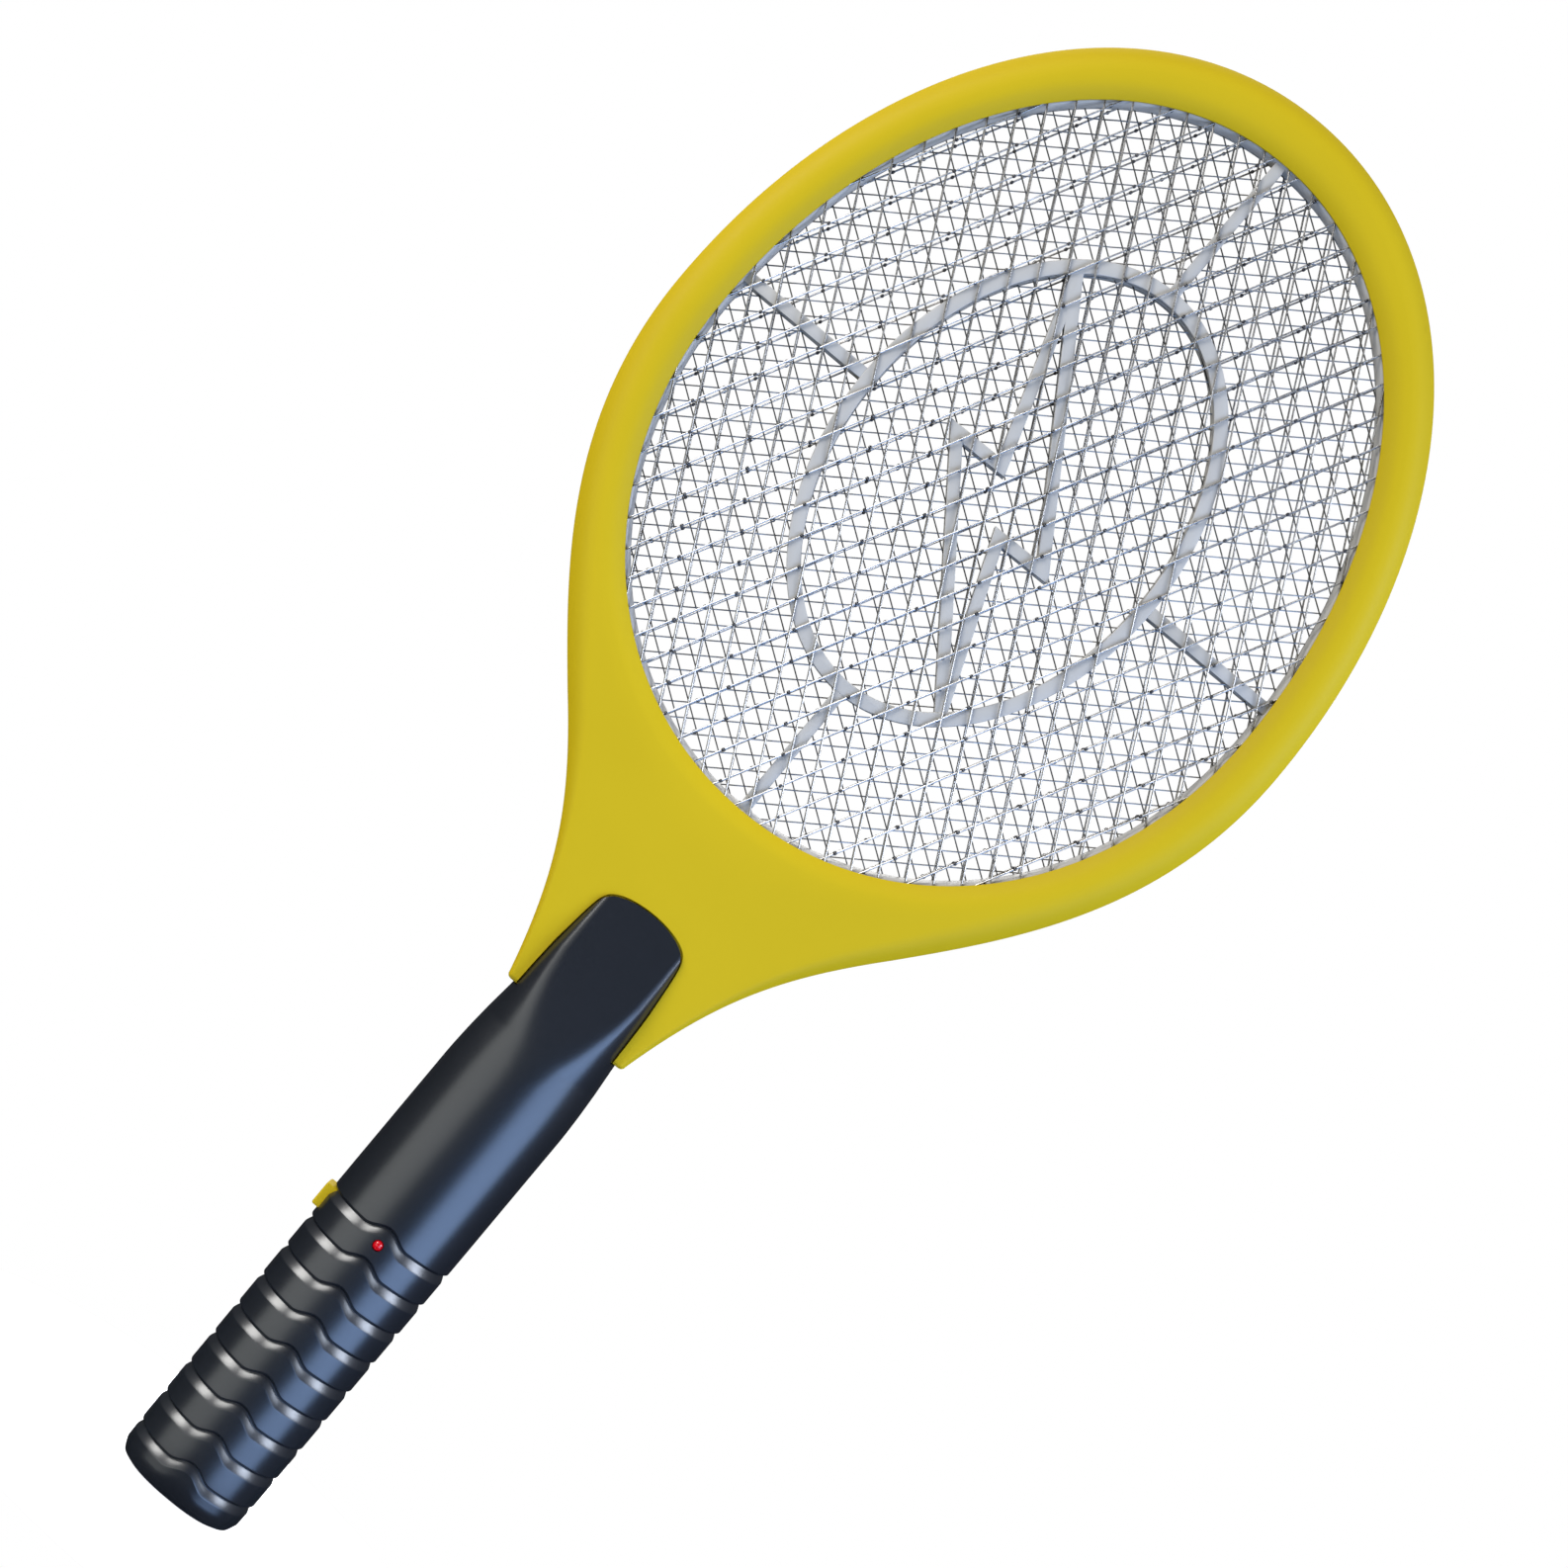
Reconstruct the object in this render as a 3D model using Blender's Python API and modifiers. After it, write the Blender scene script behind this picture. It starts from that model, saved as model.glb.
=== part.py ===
"""Electric fly swatter: a battery handle, an oval yellow head and three charged nets.

Metres, +Z up.  The swatter stands on the flat end of its handle: +Z runs along the
handle to the tip of the head, the face looks towards -Y and +X is to the right of it.
The origin is the centre of the handle's flat end.
"""
import math

import bmesh
import bpy
from mathutils import Matrix, Vector

MM = 0.001
GAP = 0.3 * MM                      # clearance between neighbouring pieces
BEYOND = 30.0 * MM                  # a depth outside the whole object, for cutters
WELD = 0.03 * MM                    # points closer than this are one point

# ---- driving dimensions: head -------------------------------------------------------
HEAD_TIP = 455.6 * MM               # height of the tip of the head, the total length
HEAD_WIDEST = 320.4 * MM            # height where the head is widest
HEAD_HALF_WIDTH = 99.4 * MM
HEAD_POWER = 2.04                   # fullness of the head's upper outline
NECK_END = 156.0 * MM               # lower end of the visible neck
NECK_HALF_WIDTH = 19.2 * MM
NECK_CORNER = 1.5 * MM
FLARE = (221.5 * MM, 53.8 * MM)     # height and half width where the neck's flare turns
FACE = 8.0 * MM                     # half thickness of the head
FACE_EDGE = 3.0 * MM                # rounding of the head's outer edge
HEAD_WALL = 2.0 * MM

OPEN_CENTRE = 323.0 * MM            # height where the oval opening is widest
OPEN_HALF_WIDTH = 87.0 * MM
OPEN_BELOW = 96.6 * MM              # from there to the opening's lower end
OPEN_ABOVE = 118.2 * MM             # and to its upper end
OPEN_POWER = 2.04

# ---- nets and the frames that space them, as distances from the middle plane ---------
NET_HALF = 0.2 * MM                 # half thickness of a net
SPACER_IN = 0.5 * MM
SPACER_OUT = 3.6 * MM
GRID_IN = 3.9 * MM
GRID_OUT = 4.3 * MM
POCKET = 4.6 * MM                   # depth of the pocket that holds nets and spacers
SEAT = 5.0 * MM                     # how far spacers and nets reach under the lip
RIM_SHOWS = 1.2 * MM                # how far the spacer's rim shows inside the lip
RING_CENTRE = 332.1 * MM
RING_HEIGHT = 66.8 * MM             # outer half axes of the inner ring
RING_WIDTH = 47.9 * MM
RING_BAND = 3.8 * MM
SPOKE = 3.2 * MM
BOLT_BAR = 3.3 * MM
# corners of the bolt sign, as (across, up) from the ring's centre
BOLT = ((-22.0, 54.0), (20.0, -9.8), (5.5, -10.0), (23.0, -54.0), (-20.2, 4.0), (-5.5, 4.2))

# ---- handle --------------------------------------------------------------------------
GRIP_POWER = 2.25                   # squareness of the handle's section along the grip
TONGUE_POWER = 3.5                  # and of the flatter tongue
SQUARER = (146.5 * MM, 170.5 * MM)  # heights between which it changes
HANDLE_WALL = 2.0 * MM
# height, half width and half depth of the handle's sections
HANDLE = (
    (0.0, 15.3, 11.9), (0.8, 17.0, 13.6), (2.8, 18.1, 14.7), (10.0, 18.3, 15.0),
    (94.0, 18.6, 15.0), (132.5, 18.6, 15.0), (139.5, 18.3, 15.0), (146.5, 17.8, 14.9),
    (154.5, 17.0, 14.6), (162.5, 16.4, 14.2), (170.5, 15.8, 13.6), (178.5, 15.2, 13.0),
    (185.5, 14.6, 12.4), (193.5, 13.9, 11.8),
)
GROOVES = 9
GROOVE_TOP = 85.4 * MM              # height of the uppermost groove at the sides
GROOVE_STEP = 9.65 * MM
GROOVE_DEPTH = 0.8 * MM
GROOVE_WAVE = 2.5 * MM              # how far a groove rises in the middle
WAVE_REACH = 7.0 * MM
TONGUE_TIP = 191.5 * MM
FACET_START = (144.0 * MM, 15.0 * MM)   # height and depth where the flat facet begins
FACET_END = (191.5 * MM, 8.9 * MM)
TANG_START = 126.0 * MM
TANG = (11.0 * MM, 6.0 * MM)        # half width and half depth of the tang

# ---- what the handle holds -------------------------------------------------------------
BAY = (4.7 * MM, 64.3 * MM)         # heights of the battery opening
BAY_HALF_WIDTH = 15.6 * MM
CELL_RADIUS = 7.1 * MM
CELL_LENGTH = 49.4 * MM
CELL_NUB = 1.1 * MM
CELL_X = 7.45 * MM
BRIDGE_Z = 4.2 * MM
PLATE_Z = 61.0 * MM
PLATE_THICK = 0.5 * MM
BOARD = (12.5 * MM, 3.2 * MM, 4.8 * MM, 74.5 * MM, 122.0 * MM)   # half x, y, y, z, z
ON_BOARD = 2.9 * MM                 # where the parts on the board end
BUTTON_Z = 82.6 * MM
BUTTON_HALF = (4.0 * MM, 3.4 * MM)  # half depth and half height of the button
BUTTON_FACE = -20.3 * MM
LED_Z = 83.8 * MM
LED_RADIUS = 1.5 * MM

# ---- screws ----------------------------------------------------------------------------
SCREW_HEAD = (2.1 * MM, 1.4 * MM)   # radius and height
SCREW_SHANK = (0.95 * MM, 11.6 * MM)
SCREW_TOP = 7.6 * MM                # depth of a head's outer face
TONGUE_SCREW_TOP = 10.7 * MM
BOSS = 2.8 * MM
BORE_SIDES = 12                     # sides of bores, screws and bosses
# places on the rim, as angles from the right side of the opening
RIM_SCREWS = (28.0, 68.0, 112.0, 152.0, 205.0, 335.0)
NECK_SCREWS = ((-17.0 * MM, 199.0 * MM), (17.0 * MM, 199.0 * MM))
HANDLE_SCREWS = ((-11.0 * MM, 68.8 * MM), (11.0 * MM, 68.8 * MM), (0.0, 141.0 * MM))
TONGUE_SCREW = (0.0, 176.0 * MM)


# ---- collections and materials ---------------------------------------------------------
def empty_scene():
    for obj in list(bpy.data.objects):
        bpy.data.objects.remove(obj, do_unlink=True)


def new_collection(name):
    collection = bpy.data.collections.new(name)
    bpy.context.scene.collection.children.link(collection)
    return collection


def make_material(name, colour, roughness, metallic=0.0):
    material = bpy.data.materials.new(name)
    material.use_nodes = True
    shader = material.node_tree.nodes["Principled BSDF"]
    shader.inputs["Base Color"].default_value = (*colour, 1.0)
    shader.inputs["Roughness"].default_value = roughness
    shader.inputs["Metallic"].default_value = metallic
    material.diffuse_color = (*colour, 1.0)
    return material


empty_scene()
PARTS = new_collection("electric_fly_swatter")
CUTTERS = new_collection("cutters")


def add_object(name, mesh, collection):
    obj = bpy.data.objects.new(name, mesh)
    collection.objects.link(obj)
    return obj


def as_part(obj, name, colour, roughness, metallic=0.0):
    """Name a finished piece and give it its own material."""
    obj.name = name
    obj.data.name = name
    obj.data.materials.clear()
    obj.data.materials.append(make_material(name, colour, roughness, metallic))
    obj.data.shade_smooth()
    obj.data.set_sharp_from_angle(angle=math.radians(35))
    return obj


def as_cutter(obj):
    """Move a guide solid out of the model, so that only modifiers use it."""
    for collection in list(obj.users_collection):
        collection.objects.unlink(obj)
    CUTTERS.objects.link(obj)
    obj.hide_render = True
    obj.display_type = "WIRE"
    return obj


def boolean(target, other, operation, solver="EXACT"):
    modifier = target.modifiers.new(operation.lower(), "BOOLEAN")
    modifier.operation = operation
    modifier.solver = solver
    modifier.object = as_cutter(other)


def cut(target, *cutters):
    for cutter in cutters:
        boolean(target, cutter, "DIFFERENCE")


def join(target, *others):
    for other in others:
        boolean(target, other, "UNION")


# ---- simple solids ---------------------------------------------------------------------
def solid_from(bm, name):
    bmesh.ops.recalc_face_normals(bm, faces=bm.faces)
    mesh = bpy.data.meshes.new(name)
    bm.to_mesh(mesh)
    bm.free()
    return add_object(name, mesh, PARTS)


def box(low, high, name="box"):
    bm = bmesh.new()
    size = Vector(high) - Vector(low)
    middle = (Vector(high) + Vector(low)) / 2
    place = Matrix.Translation(middle) @ Matrix.Diagonal((*size, 1.0))
    bmesh.ops.create_cube(bm, size=1.0, matrix=place)
    return solid_from(bm, name)


def rounded_box(low, high, radius, name="rounded_box"):
    obj = box(low, high, name)
    bevel = obj.modifiers.new("round", "BEVEL")
    bevel.width = radius
    bevel.segments = 2
    return obj


def add_cone(bm, start, end, radius_start, radius_end, sides):
    start = Vector(start)
    end = Vector(end)
    turn = (end - start).to_track_quat("Z", "Y").to_matrix().to_4x4()
    place = Matrix.Translation((start + end) / 2) @ turn
    bmesh.ops.create_cone(bm, cap_ends=True, segments=sides, radius1=radius_start,
                          radius2=radius_end, depth=(end - start).length, matrix=place)


def cylinder(start, end, radius, sides=16, name="cylinder"):
    bm = bmesh.new()
    add_cone(bm, start, end, radius, radius, sides)
    return solid_from(bm, name)


def turned(profile, axis_start, axis_dir, sides, name):
    """A turned solid: profile is a list of (distance along the axis, radius)."""
    bm = bmesh.new()
    turn = Vector(axis_dir).to_track_quat("Z", "Y").to_matrix()
    rings = []
    for along, radius in profile:
        ring = []
        for i in range(sides):
            angle = 2 * math.pi * i / sides
            point = Vector((radius * math.cos(angle), radius * math.sin(angle), along))
            ring.append(bm.verts.new(Vector(axis_start) + turn @ point))
        rings.append(ring)
    skin_rings(bm, rings)
    return solid_from(bm, name)


def skin_rings(bm, rings):
    """Close a stack of rings of equal size into one solid."""
    count = len(rings[0])
    for lower, upper in zip(rings, rings[1:]):
        for i in range(count):
            j = (i + 1) % count
            bm.faces.new((lower[i], lower[j], upper[j], upper[i]))
    bm.faces.new(list(reversed(rings[0])))
    bm.faces.new(rings[-1])


def mesh_from_curve(curve_obj, name):
    """Turn a curve object into a welded mesh object in world coordinates."""
    bpy.context.view_layer.update()
    evaluated = curve_obj.evaluated_get(bpy.context.evaluated_depsgraph_get())
    mesh = bpy.data.meshes.new_from_object(evaluated)
    mesh.name = name
    mesh.transform(curve_obj.matrix_world)
    curve = curve_obj.data
    bpy.data.objects.remove(curve_obj, do_unlink=True)
    bpy.data.curves.remove(curve)
    bm = bmesh.new()
    bm.from_mesh(mesh)
    bmesh.ops.remove_doubles(bm, verts=bm.verts, dist=1e-6)
    bmesh.ops.triangulate(bm, faces=bm.faces)
    bmesh.ops.recalc_face_normals(bm, faces=bm.faces)
    bm.to_mesh(mesh)
    bm.free()
    return add_object(name, mesh, PARTS)


def plate(outlines, front, back, name="plate", rounding=0.0):
    """A flat solid in the XZ plane between y = front and y = back, from closed outlines."""
    curve = bpy.data.curves.new(name, "CURVE")
    curve.dimensions = "2D"
    curve.fill_mode = "BOTH"
    curve.extrude = (back - front) / 2 - rounding
    curve.bevel_depth = rounding
    curve.offset = -rounding
    curve.bevel_resolution = 1
    for outline in outlines:
        spline = curve.splines.new("POLY")
        spline.points.add(len(outline) - 1)
        for point, (x, z) in zip(spline.points, outline):
            point.co = (x, z, 0.0, 1.0)
        spline.use_cyclic_u = True
    obj = add_object(name, curve, PARTS)
    obj.rotation_euler = (math.radians(90), 0.0, 0.0)
    obj.location = (0.0, (front + back) / 2, 0.0)
    return mesh_from_curve(obj, name)


def wire(points, radius, name, closed=False):
    """A round wire or cable along points."""
    curve = bpy.data.curves.new(name, "CURVE")
    curve.dimensions = "3D"
    curve.bevel_depth = radius
    curve.bevel_resolution = 1
    curve.use_fill_caps = True
    spline = curve.splines.new("POLY")
    spline.points.add(len(points) - 1)
    for point, place in zip(spline.points, points):
        point.co = (*place, 1.0)
    spline.use_cyclic_u = closed
    return mesh_from_curve(add_object(name, curve, PARTS), name)


def smooth_path(points, steps):
    """Points along a Catmull-Rom curve through the given places."""
    places = [Vector(p) for p in points]
    places = [2 * places[0] - places[1]] + places + [2 * places[-1] - places[-2]]
    path = []
    for a, b, c, d in zip(places, places[1:], places[2:], places[3:]):
        for i in range(steps):
            t = i / steps
            path.append(0.5 * (2 * b + (c - a) * t + (2 * a - 5 * b + 4 * c - d) * t * t
                               + (3 * b - a - 3 * c + d) * t ** 3))
    path.append(places[-2])
    return path


def coil(centre, axis, length, turns, radius_start, radius_end, wire_radius, name):
    """A compression spring that starts at centre and runs along axis."""
    per_turn = 10
    turn = Vector(axis).to_track_quat("Z", "Y").to_matrix()
    count = int(turns * per_turn)
    points = []
    for i in range(count + 1):
        part = i / count
        angle = 2 * math.pi * turns * part
        radius = radius_start + (radius_end - radius_start) * part
        rise = wire_radius + (length - 2 * wire_radius) * part
        points.append(Vector(centre) + turn @ Vector((radius * math.cos(angle),
                                                      radius * math.sin(angle), rise)))
    return wire(points, wire_radius, name)


# ---- outlines ----------------------------------------------------------------------------
def power_arc(half_x, half_z, power, angle):
    """A point of a superellipse about the origin."""
    c = math.cos(angle)
    s = math.sin(angle)
    return (half_x * math.copysign(abs(c) ** (2 / power), c),
            half_z * math.copysign(abs(s) ** (2 / power), s))


def oval(grow, sides=56):
    """The egg-shaped opening, made larger all round by grow."""
    points = []
    for i in range(sides):
        angle = 2 * math.pi * i / sides
        half_z = (OPEN_ABOVE if angle < math.pi else OPEN_BELOW) + grow
        x, z = power_arc(OPEN_HALF_WIDTH + grow, half_z, OPEN_POWER, angle)
        points.append((x, OPEN_CENTRE + z))
    return points


def ellipse(half_x, half_z, centre_z, sides=44):
    return [(half_x * math.cos(2 * math.pi * i / sides),
             centre_z + half_z * math.sin(2 * math.pi * i / sides)) for i in range(sides)]


def bezier(a, b, c, d, count):
    """Points of a cubic curve, without its first one."""
    points = []
    for i in range(1, count + 1):
        t = i / count
        u = 1 - t
        points.append(tuple(u ** 3 * p + 3 * u * u * t * q + 3 * u * t * t * r + t ** 3 * s
                            for p, q, r, s in zip(a, b, c, d)))
    return points


def head_outline(inset=0.0):
    """The outer outline of head and neck, anticlockwise from the right of the neck's end."""
    flare_z, flare_x = FLARE
    corner = [(NECK_HALF_WIDTH - NECK_CORNER, NECK_END),
              (NECK_HALF_WIDTH - 0.3 * NECK_CORNER, NECK_END + 0.3 * NECK_CORNER)]
    neck = [(NECK_HALF_WIDTH, NECK_END + NECK_CORNER)]
    neck += bezier(neck[0], (26.4 * MM, 186.0 * MM), (flare_x - 18.4 * MM, flare_z - 20.7 * MM),
                   (flare_x, flare_z), 7)
    neck += bezier((flare_x, flare_z), (flare_x + 21.5 * MM, flare_z + 25.0 * MM),
                   (HEAD_HALF_WIDTH, HEAD_WIDEST - 45.0 * MM), (HEAD_HALF_WIDTH, HEAD_WIDEST), 7)
    top = []
    quarter = 14
    for i in range(1, quarter + 1):
        x, z = power_arc(HEAD_HALF_WIDTH, HEAD_TIP - HEAD_WIDEST, HEAD_POWER,
                         math.pi / 2 * i / quarter)
        top.append((x, HEAD_WIDEST + z))
    # an inset outline leaves out the small corner, which would fold over itself
    right = neck + top if inset else corner + neck + top
    left = [(-x, z) for x, z in reversed(right[:-1])]
    return inset_outline(right + left, inset)


def inset_outline(points, inset):
    """Move each point of an anticlockwise outline inwards, square to its neighbours' chord."""
    if not inset:
        return points
    moved = []
    count = len(points)
    for i, (x, z) in enumerate(points):
        before = points[i - 1]
        after = points[(i + 1) % count]
        chord = Vector((after[0] - before[0], after[1] - before[1])).normalized()
        moved.append((x - chord.y * inset, z + chord.x * inset))
    return moved


def mitred(points, offset):
    """Offset a closed anticlockwise polygon outwards with mitred corners."""
    corners = []
    count = len(points)
    for i, point in enumerate(points):
        here = Vector(point)
        to_here = (here - Vector(points[i - 1])).normalized()
        onward = (Vector(points[(i + 1) % count]) - here).normalized()
        normal_in = Vector((to_here.y, -to_here.x))
        normal_out = Vector((onward.y, -onward.x))
        middle = (normal_in + normal_out).normalized()
        corners.append(tuple(here + middle * offset / middle.dot(normal_out)))
    return corners


# ---- head ----------------------------------------------------------------------------------
def rim_place(degrees, out):
    """A place beside the opening, at an angle seen from its widest height."""
    angle = math.radians(degrees)
    half_z = (OPEN_ABOVE if math.sin(angle) > 0 else OPEN_BELOW) + out
    x, z = power_arc(OPEN_HALF_WIDTH + out, half_z, OPEN_POWER, angle)
    return x, OPEN_CENTRE + z


def frame_screw_places():
    return [rim_place(degrees, 7.4 * MM) for degrees in RIM_SCREWS] + list(NECK_SCREWS)


def head_channel(depth):
    """The hollow between the pocket's wall and the outer wall, with its bosses left out."""
    inner_wall = oval(SEAT + GAP + 1.6 * MM)
    channel = plate([head_outline(HEAD_WALL), inner_wall], -depth, BEYOND, "channel")
    for x, z in frame_screw_places() + [TONGUE_SCREW]:
        cut(channel, cylinder((x, -FACE, z), (x, 2 * BEYOND, z), BOSS, BORE_SIDES, "boss_gap"))
    return channel


def head_shell(name):
    """One half of the head, built as the front one."""
    shell = plate([head_outline()], -FACE, FACE, name, FACE_EDGE)
    tang_x, tang_y = TANG
    join(shell, box((-tang_x, -tang_y, TANG_START), (tang_x, 1.0 * MM, NECK_END + 4 * MM), "tang"))
    cut(shell, plate([oval(0.0)], -BEYOND, BEYOND, "opening"))
    cut(shell, plate([oval(SEAT + GAP)], -POCKET, BEYOND, "pocket"))
    cut(shell, head_channel(6.0 * MM))
    wire_way = box((-tang_x + 2 * MM, -tang_y + 2 * MM, TANG_START - 1 * MM),
                   (tang_x - 2 * MM, BEYOND, NECK_END + 6 * MM), "wire_way")
    x, z = HANDLE_SCREWS[2]
    cut(wire_way, cylinder((x, -FACE, z), (x, 2 * BEYOND, z), BOSS, BORE_SIDES, "boss_gap"))
    boolean(shell, wire_way, "DIFFERENCE", "MANIFOLD")
    # the leads to the nets leave the neck through a notch in the pocket's wall
    cut(shell, box((-5 * MM, -POCKET, 211 * MM), (5 * MM, BEYOND, 228 * MM), "net_notch"))
    cut(shell, box((-0.2, -GAP / 2, 0.0), (0.2, 2 * BEYOND, 0.6), "rear_half"))
    return shell


def baked_mesh(obj, name):
    """The mesh an object's modifiers give, with its points welded."""
    bpy.context.view_layer.update()
    evaluated = obj.evaluated_get(bpy.context.evaluated_depsgraph_get())
    mesh = bpy.data.meshes.new_from_object(evaluated)
    mesh.name = name
    bm = bmesh.new()
    bm.from_mesh(mesh)
    bmesh.ops.remove_doubles(bm, verts=bm.verts, dist=WELD)
    bm.to_mesh(mesh)
    bm.free()
    return mesh


def both_halves(obj, front_name, rear_name):
    """Bake a front piece, and make its mirror image behind the middle plane."""
    front_mesh = baked_mesh(obj, front_name)
    rear_mesh = front_mesh.copy()
    rear_mesh.transform(Matrix.Diagonal((1.0, -1.0, 1.0, 1.0)))
    rear_mesh.flip_normals()
    as_cutter(obj)
    return add_object(front_name, front_mesh, PARTS), add_object(rear_name, rear_mesh, PARTS)


def screw_hole(x, z, top, counterbore):
    """A cutter for one screw: a bore, and a counterbore where the head sits."""
    head_radius, head_height = SCREW_HEAD
    shank_radius, shank_length = SCREW_SHANK
    seat = top - head_height - GAP
    end = top - head_height - shank_length - GAP
    if counterbore:
        profile = [(end, shank_radius + GAP), (seat, shank_radius + GAP),
                   (seat, head_radius + GAP), (0.03, head_radius + GAP)]
    else:
        profile = [(end, shank_radius + GAP), (0.004, shank_radius + GAP)]
    return turned(profile, (x, 0.0, z), (0.0, 1.0, 0.0), BORE_SIDES, "screw_hole")


def make_frames():
    front, rear = both_halves(head_shell("head_half"), "front_frame", "rear_frame")
    for x, z in frame_screw_places():
        cut(front, screw_hole(x, z, SCREW_TOP, False))
        cut(rear, screw_hole(x, z, SCREW_TOP, True))
    for place, top in ((HANDLE_SCREWS[2], SCREW_TOP), (TONGUE_SCREW, TONGUE_SCREW_TOP)):
        x, z = place
        bore = SCREW_SHANK[0] + GAP
        low = top - SCREW_HEAD[1] - SCREW_SHANK[1] - GAP
        cut(front, cylinder((x, low, z), (x, FACE, z), bore, BORE_SIDES, "bore"))
        cut(rear, cylinder((x, -FACE, z), (x, 0.02, z), bore, BORE_SIDES, "bore"))
    yellow = (0.63, 0.50, 0.012)
    as_part(front, "front_frame", yellow, 0.42)
    as_part(rear, "rear_frame", yellow, 0.42)


def make_spacer(name):
    """Grey frame between two nets: a rim, four spokes, an inner ring and a bolt sign."""
    thin = 0.15 * MM
    rim = plate([oval(SEAT), oval(-RIM_SHOWS)], -SPACER_OUT, -SPACER_IN, name)
    ring = plate([ellipse(RING_WIDTH, RING_HEIGHT, RING_CENTRE),
                  ellipse(RING_WIDTH - RING_BAND, RING_HEIGHT - RING_BAND, RING_CENTRE)],
                 -SPACER_OUT, -SPACER_IN, "ring")
    corners = [(x * MM, RING_CENTRE + z * MM) for x, z in reversed(BOLT)]
    bolt = plate([mitred(corners, BOLT_BAR / 2), mitred(corners, -BOLT_BAR / 2)],
                 -SPACER_OUT + thin, -SPACER_IN - thin, "bolt_sign")
    inside_ring = plate([ellipse(RING_WIDTH - 1 * MM, RING_HEIGHT - 1 * MM, RING_CENTRE)],
                        -0.01, 0.01, "inside_ring")
    boolean(bolt, inside_ring, "INTERSECT")
    join(rim, ring, bolt)
    for across, up in ((1, 0), (-1, 0), (0, 1), (0, -1)):
        if across:
            low, high = sorted((across * (RING_WIDTH - 2 * MM), across * (OPEN_HALF_WIDTH + 2 * MM)))
            spoke = box((low, -SPACER_OUT + thin, RING_CENTRE - SPOKE / 2),
                        (high, -SPACER_IN - thin, RING_CENTRE + SPOKE / 2), "spoke")
        else:
            reach = OPEN_CENTRE + (OPEN_ABOVE if up > 0 else -OPEN_BELOW) + up * 2 * MM
            low, high = sorted((RING_CENTRE + up * (RING_HEIGHT - 2 * MM), reach))
            spoke = box((-SPOKE / 2, -SPACER_OUT + thin, low),
                        (SPOKE / 2, -SPACER_IN - thin, high), "spoke")
        join(rim, spoke)
    return rim


def make_nets():
    grey = (0.50, 0.51, 0.53)
    front_spacer, rear_spacer = both_halves(make_spacer("spacer"), "front_spacer", "rear_spacer")
    as_part(front_spacer, "front_spacer", grey, 0.5)
    as_part(rear_spacer, "rear_spacer", grey, 0.5)
    steel = (0.55, 0.56, 0.57)
    for name, low, high in (("front_grid", -GRID_OUT, -GRID_IN), ("rear_grid", GRID_IN, GRID_OUT),
                            ("middle_mesh", -NET_HALF, NET_HALF)):
        net = plate([oval(SEAT - GAP)], low, high, name)
        as_part(net, name, steel, 0.3, 1.0)


# ---- handle ----------------------------------------------------------------------------------
def handle_section(height):
    """Half width and half depth of the handle at a height."""
    rows = [(z * MM, x * MM, y * MM) for z, x, y in HANDLE]
    for low, high in zip(rows, rows[1:]):
        if height <= high[0]:
            part = (height - low[0]) / (high[0] - low[0])
            return low[1] + (high[1] - low[1]) * part, low[2] + (high[2] - low[2]) * part
    return rows[-1][1], rows[-1][2]


def handle_power(height):
    """Squareness of the handle's section at a height."""
    low, high = SQUARER
    part = max(0.0, min(1.0, (height - low) / (high - low)))
    return GRIP_POWER + (TONGUE_POWER - GRIP_POWER) * part


def wave(x):
    """How far a groove rises at a distance from the middle of the face, 0 to 1."""
    if abs(x) >= WAVE_REACH:
        return 0.0
    return 0.5 + 0.5 * math.cos(math.pi * x / WAVE_REACH)


def handle_stations():
    """Height, groove depth and rise of each ring of the handle, from the end upwards."""
    stations = [(z * MM, 0.0, 0.0) for z, _, _ in HANDLE[:3]]
    for k in reversed(range(GROOVES)):
        base = GROOVE_TOP - k * GROOVE_STEP
        stations.append((base - 1.5 * MM, 0.0, GROOVE_WAVE))
        stations.append((base + 0.7 * MM, GROOVE_DEPTH, GROOVE_WAVE))
        stations.append((base + 1.1 * MM, 0.0, GROOVE_WAVE))
    return stations + [(z * MM, 0.0, 0.0) for z, _, _ in HANDLE[4:]]


def handle_body(name, inset=0.0, sides=36):
    """The whole handle as one solid; with an inset, the hollow inside it."""
    if inset:
        stations = [(inset, 0.0, 0.0)] + [(z * MM, 0.0, 0.0) for z, _, _ in HANDLE[3:]
                                          if z * MM < NECK_END - 4 * MM]
        stations.append((NECK_END - 2.5 * MM, 0.0, 0.0))
    else:
        stations = handle_stations()
    bm = bmesh.new()
    rings = []
    for height, groove, rise in stations:
        half_x, half_y = handle_section(max(height, 3 * MM) if inset else height)
        ring = []
        for i in range(sides):
            angle = 2 * math.pi * (i + 0.5) / sides
            x, y = power_arc(half_x - inset - groove, half_y - inset - groove,
                             handle_power(height), angle)
            ring.append(bm.verts.new((x, y, height + rise * wave(x))))
        rings.append(ring)
    skin_rings(bm, rings)
    bmesh.ops.triangulate(bm, faces=bm.faces)
    return solid_from(bm, name)


def tongue_plan():
    """The outline of handle and tongue seen from the front, a little wider than the grip."""
    right = [(25 * MM, -5 * MM), (25 * MM, 156 * MM), (16.4 * MM, 172 * MM), (14.9 * MM, 182 * MM)]
    right += bezier(right[-1], (14.5 * MM, 186 * MM), (13.9 * MM, 188 * MM), (11.0 * MM, 189.2 * MM), 4)
    right += bezier(right[-1], (8.0 * MM, 190.6 * MM), (4.0 * MM, TONGUE_TIP), (0.0, TONGUE_TIP), 4)
    return right + [(-x, z) for x, z in reversed(right[:-1])]


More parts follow.
